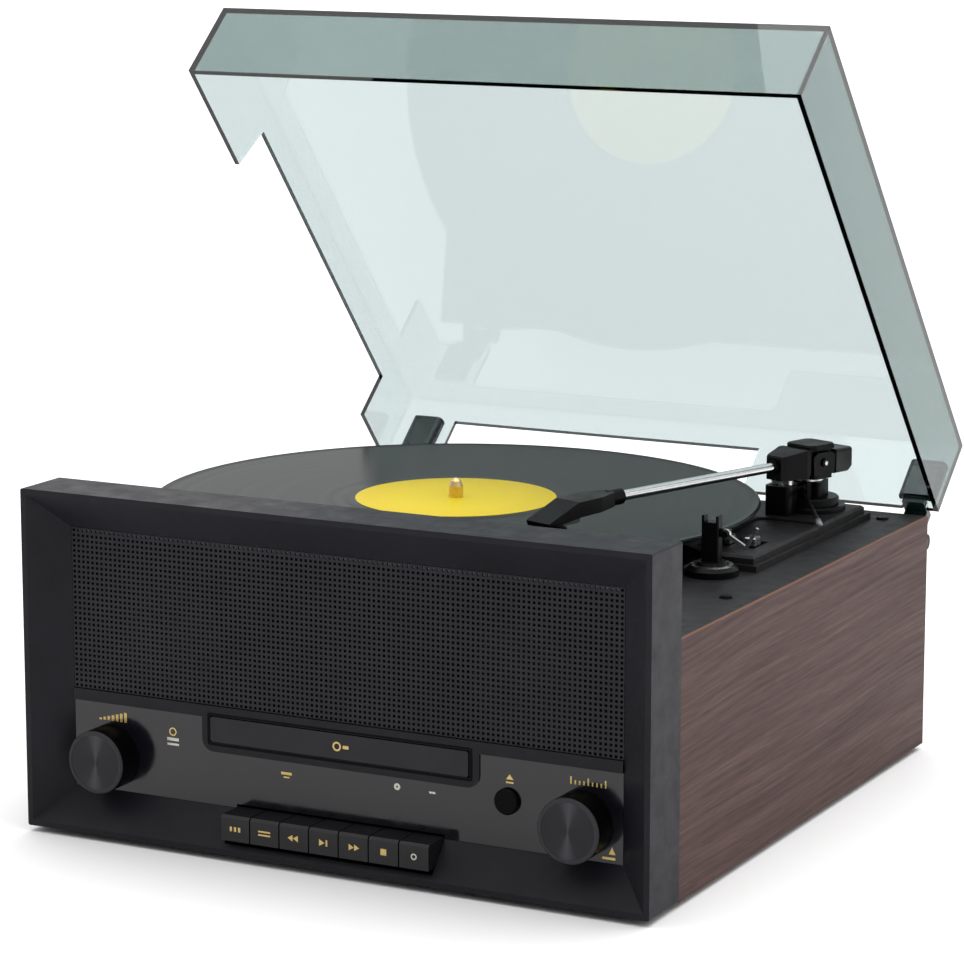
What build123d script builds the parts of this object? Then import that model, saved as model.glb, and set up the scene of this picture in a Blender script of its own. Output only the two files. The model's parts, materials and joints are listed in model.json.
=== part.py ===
from build123d import *
import math
import os

# Record player with a radio, a compact-disc drawer and a hinged clear dust cover.
# Millimetres. +X is the listener's right, +Y is the back, +Z is up.
# The origin is the centre of the cabinet's underside, which the feet lift off the shelf.

# Cabinet and front frame
width = 323.0
front_depth = 31.0
cabinet_depth = 304.0
cabinet_height = 119.0
front_height = 162.0
foot_height = 3.0
side_thickness = 7.4
side_arris = 1.2
deck_thickness = 4.0
bottom_thickness = 5.0
bottom_field_x = 120.0
bottom_field_y = 122.0
back_thickness = 4.0

depth = front_depth + cabinet_depth
front_y = -depth / 2
frame_back_y = front_y + front_depth
back_y = depth / 2
base_z = 0.0
deck_z = base_z + cabinet_height
frame_top_z = base_z + front_height
inner_x = width / 2 - side_thickness
deck_bottom_z = deck_z - deck_thickness

# Sockets in the back panel
jack_x = 96.0
jack_z = 37.0
jack_pitch = 14.0
inlet_x = -104.0
inlet_z = 35.0

# Front frame: flat lip, slope inwards, then the grille and the control panel
lip = 2.8
recess_depth = 13.6
recess_margin = 18.8
frame_wall = 3.0
recess_y = front_y + recess_depth
opening_x = width / 2 - recess_margin
opening_low_z = base_z + recess_margin
opening_high_z = frame_top_z - recess_margin
panel_thickness = 2.5
panel_top_z = 66.1
panel_strip = 5.5

# Loudspeaker grille: rows of long slots, cut by a few uprights
grille_thickness = 1.2
grille_rows = 24
grille_columns = 3
grille_bar = 1.3

# Loudspeakers
speaker_x = 92.0
speaker_z = 93.5
speaker_radius = 31.0
magnet_radius = 15.0
cone_radius = 28.0
baffle_y = recess_y + panel_thickness
baffle_thickness = 2.5

# Knobs and button
knob_x = 122.5
knob_z = 35.3
knob_radius = 15.0
knob_front_y = front_y - 1.0
knob_gap = 0.6
pot_bush_radius = 3.5
running_gap = 0.05
button_x = 86.0
button_z = 40.6
button_radius = 6.0
button_stand = 2.2
button_gap = 0.1

# Piano keys
key_count = 7
key_pitch = 15.5
key_gap = 0.7
key_low_z = 7.6
key_high_z = 19.6
key_front_y = front_y - 1.0
key_pivot_y = front_y + 24.0
key_pivot_z = 16.0
comb_floor_z = base_z + bottom_thickness

# Compact-disc drawer
tray_half = 67.0
tray_low_z = 49.4
tray_high_z = 61.2
tray_length = 150.0
tray_plate = 4.4
tray_gap = 0.5
disc_radius = 60.5
loader_wall = 2.0

# Platter, record and drive
record_x = -33.5
record_y = 23.5
record_radius = 151.0
record_thickness = 2.0
record_top_z = 136.5
label_radius = 50.0
platter_radius = 98.5
platter_height = 12.0
platter_wall = 3.0
mat_thickness = 1.5
spindle_radius = 3.55
bush_radius = 7.0
belt_ring_radius = 58.0
pulley_radius = 5.0
pulley_distance = 84.0
pulley_angle = 60.0
belt_thickness = 0.8
belt_width = 4.0
platter_top_z = record_top_z - record_thickness - mat_thickness
platter_low_z = platter_top_z - platter_height
belt_z = platter_low_z + 3.0

# Tone arm
pivot_x = 113.0
pivot_y = 127.5
arm_z = 150.3
arm_angle = 19.0
tube_radius = 2.5
tube_start = 29.0
tube_end = 143.0
stylus_reach = 183.0
stylus_lift = 4.6
plate_x0 = 90.5
plate_x1 = 137.5
plate_y0 = 2.0
plate_y1 = 149.0
plate_height = 7.0
plate_top_z = deck_z + plate_height
socket_start = 27.5
socket_ring = 3.6
lug_low = 6.6

# The arm's swivel, its tower, and the lift with its lever
yoke_low_z = plate_top_z + 16.2
yoke_half = 9.5
yoke_table = 2.0
cheek = 2.6
tower_top_z = plate_top_z + 14.6
lift_x = pivot_x - 6.5
lift_y = pivot_y - 20.5
lift_gap = 0.6
bar_top_z = arm_z - lug_low - lift_gap
bar_thickness = 2.0
bar_length = 11.0
bar_width = 4.4
bar_travel = 3.0
stem_radius = 2.4
lever_x = pivot_x - 0.6
lever_y = pivot_y - 10.0
lever_z = plate_top_z + 11.8
lever_turn = 32.9
lever_drop = 9.7
lever_length = 52.0
lever_radius = 1.1

# Headshell and pick-up
head_start = tube_end - 6.0
head_tip = stylus_reach + 8.0
head_drop = 6.0
shell_roof_z = arm_z + 0.6
stylus_tip_z = record_top_z + stylus_lift
cartridge_low_z = stylus_tip_z + 1.4

# Arm rest and its clip
rest_x = 120.0
rest_y = -10.5
rest_floor_z = 144.2
rest_top_z = 147.4
clip_x = rest_x + 7.2
clip_z = deck_z + 20.0
clip_half = 0.9
clip_rest_turn = 120.0
clip_reach = 11.0

# Dust cover, modelled open as in use
cover_width = 325.0
cover_depth = 298.5
cover_height = 44.5
cover_wall = 2.5
cover_back_y = 167.0
cover_seat_z = deck_z + 0.3
cover_open_angle = 49.3
hinge_y = 173.5
hinge_z = 104.2
hinge_left_x = -142.5
hinge_right_x = 149.5
side_notch_back = 38.0
side_notch_front = 228.0
side_notch_height = 27.8
side_notch_slant = 4.5
back_cut_left_x = -128.0
back_cut_right_x = 54.0
back_cut_height = 29.0
leaf_half = 6.0
pocket_half = 9.0
pocket_height = 27.0
pocket_depth = 5.0


def block(x0, x1, y0, y1, z0, z1):
    """Box between two corners."""
    return Pos((x0 + x1) / 2, (y0 + y1) / 2, (z0 + z1) / 2) * Box(x1 - x0, y1 - y0, z1 - z0)


def upright(x, y, z0, z1, radius):
    """Cylinder that stands along Z."""
    return Pos(x, y, (z0 + z1) / 2) * Cylinder(radius, z1 - z0)


def along_y(x, z, y0, y1, radius):
    """Cylinder that lies along Y."""
    return Pos(x, (y0 + y1) / 2, z) * Rot(90, 0, 0) * Cylinder(radius, y1 - y0)


def along_x(x0, x1, y, z, radius):
    """Cylinder that lies along X."""
    return Pos((x0 + x1) / 2, y, z) * Rot(0, 90, 0) * Cylinder(radius, x1 - x0)


def profile_yz(points, x0, x1):
    """Closed outline in the Y-Z plane, extruded from x0 to x1."""
    outline = Polyline(*[(x0, y, z) for y, z in points], close=True)
    return extrude(make_face(outline), amount=x1 - x0, dir=(1, 0, 0))


def profile_xy(points, z0, z1):
    """Closed outline in the X-Y plane, extruded from z0 to z1."""
    outline = Polyline(*[(x, y, z0) for x, y in points], close=True)
    return extrude(make_face(outline), amount=z1 - z0, dir=(0, 0, 1))


def turned(points, x, y):
    """Solid of revolution about a vertical line, from (radius, height) points."""
    outline = Polyline(*[(radius, 0, height) for radius, height in points], close=True)
    return Pos(x, y, 0) * revolve(make_face(outline), Axis.Z)


def save(shape, node):
    export_step(shape, "parts/" + node + ".step")


def opened(shape):
    """Turns a piece that is modelled on the closed cover to where the open cover holds it."""
    return Pos(0, hinge_y, hinge_z) * Rot(-cover_open_angle, 0, 0) * Pos(0, -hinge_y, -hinge_z) * shape


def on_arm(shape):
    """Turns a piece that is modelled along -Y from the arm's pivot to where the arm stands."""
    return Pos(pivot_x, pivot_y, 0) * Rot(0, 0, -arm_angle) * shape


# Cabinet

def side_panel(sign):
    """Side board with a narrow upper edge, and a ledge inside it that the deck lies on."""
    outer = sign * width / 2
    inner = sign * inner_x
    panel = block(min(outer, inner), max(outer, inner), frame_back_y, back_y, base_z, deck_z)
    arris = panel.edges().filter_by(Axis.Y).sort_by(Axis.Z)[-2:]
    arris = arris.sort_by(Axis.X)[-1 if sign > 0 else 0]
    panel = chamfer(arris, 0.4)
    ledge = outer - sign * side_arris
    return panel - block(min(ledge, inner), max(ledge, inner), frame_back_y, back_y, deck_bottom_z, deck_z)


def bottom_panel():
    """Bottom board: cooling slots, and a routed line around the flat middle field of its underside."""
    panel = block(-inner_x, inner_x, frame_back_y, back_y - back_thickness, base_z, base_z + bottom_thickness)
    slot = Pos(0, 60, base_z + bottom_thickness / 2) * Box(3, 50, bottom_thickness)
    for step in range(-4, 5):
        panel -= Pos(step * 9, 0, 0) * slot
    line_width = 2.0
    line_depth = 1.0
    line = Pos(0, 0, base_z + line_depth / 2) * (
        Box(2 * (bottom_field_x + line_width), 2 * (bottom_field_y + line_width), line_depth)
        - Box(2 * bottom_field_x, 2 * bottom_field_y, line_depth))
    return panel - line


def feet():
    """Four tapered feet."""
    reach_x = width / 2 - 24
    reach_y = depth / 2 - 24
    foot = turned([(0, -foot_height), (8.5, -foot_height), (9.5, 0), (0, 0)], 0, 0)
    return [Pos(x, y, 0) * foot for x in (-reach_x, reach_x) for y in (-reach_y, reach_y)]


def back_panel():
    """Back board with the holes for the sockets and a field of cooling slots."""
    y0 = back_y - back_thickness
    panel = block(-inner_x, inner_x, y0, back_y, base_z, deck_z - deck_thickness)
    for x in (jack_x - jack_pitch / 2, jack_x + jack_pitch / 2):
        panel -= along_y(x, jack_z, y0, back_y, 5.0)
    panel -= block(inlet_x - 12, inlet_x + 12, y0, back_y, inlet_z - 8, inlet_z + 8)
    for row in range(5):
        panel -= block(-30, 30, y0, back_y, 63 + row * 7, 66 + row * 7)
    return panel


def output_jacks():
    """Pair of round output sockets on one strip."""
    jacks = []
    for x in (jack_x - jack_pitch / 2, jack_x + jack_pitch / 2):
        jack = along_y(x, jack_z, back_y - 14, back_y - back_thickness, 6.0)
        jack += along_y(x, jack_z, back_y - back_thickness, back_y + 5, 4.2)
        jack -= along_y(x, jack_z, back_y - 5, back_y + 5, 1.7)
        jacks.append(jack)
    strip = block(jack_x - 18, jack_x + 18, back_y - 16, back_y - 14, jack_z - 10, jack_z + 10)
    return jacks[0] + jacks[1] + strip


def power_inlet():
    """Power socket with a rounded opening and two pins."""
    y0 = back_y - 18
    y1 = back_y + 0.6
    body = block(inlet_x - 11.8, inlet_x + 11.8, y0, back_y, inlet_z - 7.8, inlet_z + 7.8)
    body += block(inlet_x - 14, inlet_x + 14, back_y, y1, inlet_z - 10, inlet_z + 10)
    socket = Plane(origin=(inlet_x, y1, inlet_z), x_dir=(1, 0, 0), z_dir=(0, 1, 0))
    opening = socket * SlotOverall(19, 8.5)
    body -= extrude(opening, amount=-14)
    for x in (-4.5, 4.5):
        body += along_y(inlet_x + x, inlet_z, back_y - 13.6, back_y - 4, 1.1)
    return body


# Deck

def top_deck():
    """Deck board with a round trough under the platter and holes for its bearing and motor."""
    half = width / 2 - side_arris
    deck = block(-half, half, frame_back_y, back_y, deck_bottom_z, deck_z)
    deck -= upright(record_x, record_y, deck_bottom_z, deck_z, bush_radius)
    motor_x, motor_y = pulley_place()
    deck -= upright(motor_x, motor_y, deck_bottom_z, deck_z, 9.0)
    trough = upright(record_x, record_y, deck_z - 1.0, deck_z, platter_radius + 4)
    return deck - trough


def case_screws():
    """Screws of the deck and of the back panel, with plain domed heads."""
    screw = turned([(0, -2.5), (1.6, -2.5), (1.6, 0), (3.4, 0), (2.6, 1.2), (0, 1.2)], 0, 0)
    deck_places = [(146.3, -53.6), (143.5, 149.8), (-146.3, -53.6), (-146.3, 149.8), (60.0, 158.0)]
    screws = [Pos(x, y, deck_z) * screw for x, y in deck_places]
    back_screw = Rot(-90, 0, 0) * screw
    back_places = [(-145, 9), (0, 9), (145, 9), (-60, 106), (60, 106)]
    screws += [Pos(x, back_y, z) * back_screw for x, z in back_places]
    return screws


def screw_holes(shape):
    """Clears the shanks of the case screws out of the deck or the back panel."""
    for screw in case_screws():
        shape -= screw
    return shape


# Front frame

def rectangle_at(y, half_x, z0, z1):
    """Upright rectangle, facing the front, at depth y."""
    return Pos(0, y, (z0 + z1) / 2) * Rot(90, 0, 0) * Rectangle(2 * half_x, z1 - z0)


def front_frame():
    """Front frame: a lip, four slopes down to the recess, a hollow behind, and the loudspeaker wall."""
    frame = block(-width / 2, width / 2, front_y, frame_back_y, base_z, frame_top_z)
    outer = frame.edges().filter_by(Axis.Y)
    frame = fillet(outer, 1.0)
    near = rectangle_at(front_y, width / 2 - lip, base_z + lip, frame_top_z - lip)
    far = rectangle_at(recess_y, opening_x, opening_low_z, opening_high_z)
    frame -= loft([near, far])
    frame -= block(-opening_x, opening_x, recess_y, recess_y + panel_thickness, opening_low_z, opening_high_z)
    cavity_y = recess_y + panel_thickness
    ledge = 3.0
    frame -= block(-opening_x + ledge, opening_x - ledge, cavity_y, frame_back_y - frame_wall,
                   opening_low_z + ledge, opening_high_z - ledge)
    frame -= block(-opening_x + ledge, opening_x - ledge, frame_back_y - frame_wall, frame_back_y,
                   opening_low_z + ledge, deck_z - deck_thickness)
    frame += baffle(-opening_x + ledge, opening_x - ledge, opening_high_z - ledge)
    return frame - key_window()


def baffle(x0, x1, z1):
    """Wall behind the grille, with a round opening for each loudspeaker."""
    wall = block(x0, x1, baffle_y, baffle_y + baffle_thickness, panel_top_z - 1.7, z1)
    for sign in (-1, 1):
        wall -= along_y(sign * speaker_x, speaker_z, baffle_y, baffle_y + baffle_thickness, cone_radius)
    return wall


def key_window():
    """Window in the frame's lower slope for the keys and their travel, wider behind for the comb."""
    half = key_count * key_pitch / 2
    window = block(-half, half, front_y, frame_back_y, comb_floor_z, opening_low_z + 6.0)
    comb_room = block(-half - 3.3, half + 3.3, key_pivot_y - 4.3, frame_back_y, comb_floor_z,
                      opening_low_z + 6.0)
    return window + comb_room


def speaker_grille():
    """Grille plate, cut into rows of long slots."""
    z0 = panel_top_z + 0.2
    z1 = opening_high_z - 0.2
    x1 = opening_x - 0.2
    plate = block(-x1, x1, recess_y, recess_y + grille_thickness, z0, z1)
    margin = 2.0
    row_pitch = (z1 - z0 - 2 * margin) / grille_rows
    column_pitch = 2 * (x1 - margin) / grille_columns
    slots = []
    for row in range(grille_rows):
        z = z0 + margin + (row + 0.5) * row_pitch
        for column in range(grille_columns):
            x = -x1 + margin + (column + 0.5) * column_pitch
            size_x = column_pitch - grille_bar
            size_z = row_pitch - grille_bar
            slots.append(Pos(x, z) * Rectangle(size_x, size_z))
    face = Plane(origin=(0, recess_y, 0), x_dir=(1, 0, 0), z_dir=(0, -1, 0))
    return plate - extrude(face * Sketch(children=slots), amount=-grille_thickness)


def speaker_basket(sign):
    """Loudspeaker frame with its magnet."""
    x = sign * speaker_x
    y0 = baffle_y + baffle_thickness
    profile = [(cone_radius, 0), (speaker_radius, 0), (speaker_radius, 2), (29.5, 2), (magnet_radius + 2, 13),
               (magnet_radius + 2, 15), (10, 15), (10, 13.2), (magnet_radius + 1, 13.2),
               (magnet_radius + 1, 12.6), (28, 1.8)]
    basket = placed_forward(profile, x, y0)
    magnet = along_y(x, speaker_z, y0 + 15, y0 + 25, magnet_radius)
    magnet -= along_y(x, speaker_z, y0 + 15, y0 + 21, 10.0)
    return basket + magnet + along_y(x, speaker_z, y0 + 21, y0 + 27, 12.0)


def placed_forward(points, x, y0):
    """Solid of revolution about a line along Y, with heights counted towards the back from y0."""
    outline = Polyline(*[(radius, height, 0) for radius, height in points], close=True)
    return Pos(x, y0, speaker_z) * revolve(make_face(outline), Axis.Y)


def speaker_cone(sign):
    """Paper cone, one thin dish."""
    x = sign * speaker_x
    y0 = baffle_y + baffle_thickness
    profile = [(27.6, 0.4), (26, 0.4), (9.5, 10.6), (0, 8.4), (0, 9.2), (9, 11.6), (26.4, 1.2), (27.6, 1.2)]
    return placed_forward(profile, x, y0)


# Control panel

def control_panel():
    """Panel with a raised strip, the surround of the drawer, and the holes for knobs and button."""
    y1 = recess_y + panel_thickness
    panel = block(-opening_x + 0.2, opening_x - 0.2, recess_y, y1, opening_low_z + 0.2, panel_top_z)
    raised = 1.0
    strip = block(-opening_x + 0.2, opening_x - 0.2, recess_y - raised, recess_y,
                  panel_top_z - panel_strip, panel_top_z)
    surround_half = tray_half + 5
    surround = block(-surround_half, surround_half, recess_y - raised, recess_y, tray_low_z - 5, panel_top_z)
    corners = surround.edges().filter_by(Axis.Y).sort_by(Axis.Z)[:2]
    panel += strip + fillet(corners, 6.0)
    panel -= block(-tray_half - tray_gap, tray_half + tray_gap, recess_y - raised, y1,
                   tray_low_z - tray_gap, tray_high_z + tray_gap)
    for x in (-knob_x, knob_x):
        panel -= along_y(x, knob_z, recess_y, y1, pot_bush_radius + 0.3)
    panel += along_y(button_x, button_z, y1, y1 + 2.2, button_radius + 3.0)
    panel -= along_y(button_x, button_z, recess_y, y1 + 2.2, button_radius + button_gap)
    window = key_high_z + 1.2
    half = key_count * key_pitch / 2
    if window > opening_low_z:
        panel -= block(-half, half, recess_y, y1, opening_low_z, window)
    return panel


def potentiometer(sign):
    """Turning control behind the panel: a can, its mounting bush and a nut."""
    x = sign * knob_x
    y1 = recess_y + panel_thickness
    can = along_y(x, knob_z, y1 + 1.5, y1 + 11, 8.0)
    bush = along_y(x, knob_z, recess_y - 4, y1 + 1.5, pot_bush_radius)
    tab = block(x - 4, x + 4, y1 + 4, y1 + 6, knob_z - 13, knob_z - 7)
    bore = along_y(x, knob_z, recess_y - 4, y1 + 8, 1.6 + running_gap)
    nut_plane = Plane(origin=(x, recess_y, knob_z), x_dir=(1, 0, 0), z_dir=(0, -1, 0))
    nut = extrude(nut_plane * RegularPolygon(5.2, 6), amount=1.8)
    washer = along_y(x, knob_z, y1, y1 + 1.5, 5.5)
    return can + bush + tab + nut + washer - bore


def knob(sign):
    """Knob with a shallow dished face, a hollow back and the turning shaft in its hub."""
    x = sign * knob_x
    back = recess_y - knob_gap
    body = along_y(x, knob_z, knob_front_y, back, knob_radius)
    rim = body.edges().filter_by(GeomType.CIRCLE).sort_by(Axis.Y)[0]
    body = chamfer(rim, 0.8)
    body -= along_y(x, knob_z, back - 8.5, back, 11.0)
    body -= along_y(x, knob_z, knob_front_y, knob_front_y + 0.5, knob_radius - 2.0)
    shaft = along_y(x, knob_z, back - 8.6, recess_y + panel_thickness + 7.5, 1.6)
    return body + shaft


def eject_button():
    """Round button with a wider flange behind the panel."""
    front = recess_y - button_stand
    button = along_y(button_x, button_z, front, recess_y + 6, button_radius)
    rim = button.edges().filter_by(GeomType.CIRCLE).sort_by(Axis.Y)[0]
    button = chamfer(rim, 0.6)
    return button + along_y(button_x, button_z, recess_y + 5.0, recess_y + 6.5, button_radius + 1.6)


# Keys

def key_x(key):
    return (key - (key_count - 1) / 2) * key_pitch


def piano_key(key):
    """Bent key: a flat top that slopes down to the front, a tall face and a lever to its pivot."""
    half = (key_pitch - key_gap) / 2
    x = key_x(key)
    points = [(key_front_y, key_low_z), (key_front_y, key_high_z - 1.2), (key_front_y + 1.2, key_high_z),
              (front_y + 15.0, key_high_z), (key_pivot_y + 3.0, key_high_z - 0.6),
              (key_pivot_y + 3.0, key_high_z - 6.4), (front_y + 13.0, key_high_z - 6.4),
              (key_front_y + 4.0, key_low_z)]
    key_body = profile_yz(points, x - half, x + half)
    hollow = [(key_front_y + 2.0, key_low_z), (key_front_y + 2.0, key_high_z - 2.0),
              (front_y + 14.0, key_high_z - 2.0), (front_y + 14.0, key_high_z - 6.4),
              (key_front_y + 4.0, key_low_z)]
    key_body -= profile_yz(hollow, x - half + 1.5, x + half - 1.5)
    return key_body - along_x(x - half, x + half, key_pivot_y, key_pivot_z, 1.0 + running_gap)


def key_housing():
    """Comb behind the keys: a back wall, two cheeks and the steel rod that all keys turn on."""
    y0 = key_pivot_y - 4.0
    y1 = frame_back_y + 6.0
    z0 = comb_floor_z
    half = key_count * key_pitch / 2
    back = block(-half - 3, half + 3, key_pivot_y + 5.0, y1, z0, key_high_z + 3)
    cheeks = block(-half - 3, -half - 0.4, y0, y1, z0, key_high_z + 3)
    cheeks += block(half + 0.4, half + 3, y0, y1, z0, key_high_z + 3)
    rod = along_x(-half - 2, half + 2, key_pivot_y, key_pivot_z, 1.0)
    return back + cheeks + rod


# Compact-disc drawer

def cd_tray():
    """Drawer: a front bar, a tray plate with a disc recess and two toothed runners."""
    front = block(-tray_half, tray_half, recess_y - 1.6, recess_y + 1.4, tray_low_z, tray_high_z)
    front = fillet(front.edges().filter_by(Axis.Y), 1.2)
    y0 = recess_y + 1.4
    y1 = y0 + tray_length
    floor_z = tray_low_z + 1.0
    plate = block(-tray_half + 2, tray_half - 2, y0, y1, floor_z, floor_z + tray_plate)
    disc_y = y0 + disc_radius + 5
    plate -= upright(0, disc_y, floor_z + 1.6, floor_z + tray_plate, disc_radius)
    plate -= upright(0, disc_y, floor_z + 1.0, floor_z + tray_plate, 40.5)
    plate -= block(-15, 15, disc_y, y1, floor_z, floor_z + tray_plate)
    plate -= upright(0, disc_y, floor_z, floor_z + tray_plate, 15.0)
    return front + plate


def cd_loader():
    """Chassis that the drawer slides in, with its clamp bridge, and the laser sled below."""
    y0 = recess_y + panel_thickness + 0.5
    y1 = recess_y + 1.4 + tray_length + 6
    z0 = tray_low_z - 13.0
    z1 = tray_high_z + 3.0
    half = tray_half + 1.0
    body = block(-half - loader_wall, half + loader_wall, y0, y1, z0, z1)
    body -= block(-half, half, y0, y1 - loader_wall, z0 + loader_wall, tray_high_z + 1.0)
    top_window = block(-half + 12, half - 12, y0 + 10, y1 - 50, tray_high_z, z1)
    body -= top_window
    ledge_z = tray_low_z + 0.7
    for sign in (-1, 1):
        edge = sign * (half - 4)
        body += block(min(edge, sign * half), max(edge, sign * half), y0 + 1, y1, ledge_z - 2, ledge_z)
    disc_y = recess_y + 1.4 + disc_radius + 5
    body += upright(0, disc_y, z0 + loader_wall, ledge_z - 3, 10.0)
    body += block(-9, 9, disc_y + 14, disc_y + 40, z0 + loader_wall, ledge_z - 3)
    for x in (-half + 6, half - 6):
        for y in (frame_back_y + 12, y1 - 12):
            body += upright(x, y, base_z + bottom_thickness, z0, 4.0)
    return body


# Electronics inside the cabinet

def main_board():
    """Circuit board on four posts, with the larger parts that stand on it."""
    z = base_z + bottom_thickness + 5
    board = block(20, 140, 12, 132, z, z + 1.6)
    for x, y in ((24, 16), (136, 16), (24, 128), (136, 128)):
        board += upright(x, y, base_z + bottom_thickness, z, 3.0)
    board += block(60, 82, 40, 62, z + 1.6, z + 4.0)
    board += block(100, 132, 92, 98, z + 1.6, z + 22)
    for step in range(4):
        board += upright(36 + step * 14, 110, z + 1.6, z + 15, 5.0)
    return board


def power_supply():
    """Transformer: a core, its winding and a foot."""
    z = base_z + bottom_thickness
    core = block(-140, -96, 84, 122, z, z + 36)
    winding = block(-134, -102, 76, 130, z + 7, z + 29)
    winding = fillet(winding.edges().filter_by(Axis.Z), 4.0)
    foot = block(-150, -86, 96, 110, z, z + 1.6)
    return core + winding + foot


# Platter and drive

def pulley_place():
    turn = math.radians(pulley_angle)
    return record_x + pulley_distance * math.cos(turn), record_y + pulley_distance * math.sin(turn)


def platter():
    """Pressed platter: a rolled rim, a web, a belt ring below it and a hub for the spindle."""
    rim_inner = platter_radius - platter_wall
    web_z = platter_top_z - 2.6
    body = turned([(0, web_z), (belt_ring_radius - 3, web_z), (belt_ring_radius - 3, platter_low_z + 2),
                   (belt_ring_radius, platter_low_z + 2), (belt_ring_radius, web_z), (rim_inner, web_z),
                   (rim_inner, platter_low_z), (platter_radius - 1, platter_low_z),
                   (platter_radius, platter_low_z + 1), (platter_radius, platter_top_z - 1),
                   (platter_radius - 1, platter_top_z), (0, platter_top_z)], record_x, record_y)
    body += upright(record_x, record_y, platter_low_z + 3, web_z, 9.0)
    return body - upright(record_x, record_y, platter_low_z, platter_top_z, spindle_radius)


def platter_mat():
    """Mat with three shallow round grooves."""
    mat = upright(record_x, record_y, platter_top_z, platter_top_z + mat_thickness, platter_radius - 2)
    mat -= upright(record_x, record_y, platter_top_z, platter_top_z + mat_thickness, spindle_radius + 0.2)
    for radius in (58, 72, 86):
        ring = Pos(record_x, record_y, platter_top_z + mat_thickness)
        mat -= ring * (Cylinder(radius + 1.2, 0.8) - Cylinder(radius - 1.2, 0.8))
    return mat


def record():
    """Pressed disc: raised lip and label land, thinner grooved band, and a rounded edge."""
    low = record_top_z - record_thickness
    band = 0.35
    disc = turned([(0, low), (record_radius - 1, low), (record_radius - 0.3, low + 0.4),
                   (record_radius, low + 1.0), (record_radius - 0.3, low + 1.6),
                   (record_radius - 1, record_top_z), (record_radius - 4, record_top_z - band),
                   (label_radius + 6, record_top_z - band), (label_radius + 4, record_top_z - 0.2),
                   (0, record_top_z - 0.2)], record_x, record_y)
    return disc - upright(record_x, record_y, low, record_top_z, spindle_radius + 0.08)


def record_label():
    """Thin paper label around the spindle's hole."""
    label = upright(record_x, record_y, record_top_z - 0.2, record_top_z - 0.05, label_radius)
    return label - upright(record_x, record_y, record_top_z - 0.2, record_top_z, spindle_radius + 0.08)


def spindle():
    """Steel spindle: a bullet nose above the record and a journal below the platter."""
    nose_z = record_top_z + 9.5
    journal_z = deck_bottom_z - 9
    return turned([(0, journal_z - 1), (2.0, journal_z), (3.0, journal_z), (3.0, platter_low_z + 2),
                   (spindle_radius, platter_low_z + 2), (spindle_radius, nose_z - 4), (2.6, nose_z - 1.4),
                   (1.2, nose_z), (0, nose_z)], record_x, record_y)


def bearing_bush():
    """Bored bush under the deck, closed below, for the spindle's journal."""
    low = deck_bottom_z - 12
    bush = turned([(0, low), (5.5, low), (5.5, deck_bottom_z - 2), (bush_radius + 3, deck_bottom_z - 2),
                   (bush_radius + 3, deck_bottom_z), (bush_radius - 0.1, deck_bottom_z),
                   (bush_radius - 0.1, deck_z + 1.0), (0, deck_z + 1.0)], record_x, record_y)
    return bush - upright(record_x, record_y, deck_bottom_z - 10.5, deck_z + 1.0, 3.0 + running_gap)


def platter_motor():
    """Motor can with its flange, two lugs and a bored collar."""
    x, y = pulley_place()
    can = upright(x, y, deck_bottom_z - 27, deck_bottom_z - 2, 17.0)
    can = chamfer(can.edges().filter_by(GeomType.CIRCLE).sort_by(Axis.Z)[0], 1.6)
    lugs = Pos(x, y, deck_bottom_z - 1) * extrude(SlotOverall(48, 12), amount=1.0)
    flange = upright(x, y, deck_bottom_z - 2, deck_bottom_z, 12.0)
    collar = upright(x, y, deck_bottom_z, deck_bottom_z + 1.5, 4.0)
    bore = upright(x, y, deck_bottom_z - 12, deck_bottom_z + 1.5, 1.0 + running_gap)
    return can + lugs + flange + collar - bore


def motor_pulley():
    """Brass pulley with a crowned belt land between two flanges, on the motor's shaft."""
    x, y = pulley_place()
    low = belt_z - 1.2
    high = belt_z + belt_width + 1.2
    body = turned([(0, low), (pulley_radius + 1, low), (pulley_radius + 1, low + 0.6),
                   (pulley_radius, low + 1.1), (pulley_radius, high - 1.1),
                   (pulley_radius + 1, high - 0.6), (pulley_radius + 1, high), (0, high)], x, y)
    return body + upright(x, y, deck_bottom_z - 11, low, 1.0)


def belt_outline(gap):
    """Outer line of two rounds joined by their outer tangents, grown by gap."""
    motor_x, motor_y = pulley_place()
    big = belt_ring_radius + gap
    small = pulley_radius + gap
    lean = math.acos((big - small) / pulley_distance)
    base = math.radians(pulley_angle)

    def point(cx, cy, radius, turn):
        return cx + radius * math.cos(turn), cy + radius * math.sin(turn)

    big_a = point(record_x, record_y, big, base + lean)
    big_back = point(record_x, record_y, big, base + math.pi)
    big_b = point(record_x, record_y, big, base - lean)
    small_a = point(motor_x, motor_y, small, base + lean)
    small_tip = point(motor_x, motor_y, small, base)
    small_b = point(motor_x, motor_y, small, base - lean)
    edges = ThreePointArc(big_a, big_back, big_b) + Line(big_b, small_b)
    edges += ThreePointArc(small_b, small_tip, small_a) + Line(small_a, big_a)
    return make_face(edges)


def drive_belt():
    """Flat belt around the platter's ring and the motor's pulley."""
    clearance = 0.3
    outer = belt_outline(clearance + belt_thickness)
    inner = belt_outline(clearance)
    return Pos(0, 0, belt_z) * extrude(outer - inner, amount=belt_width)


# Tone arm

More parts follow.
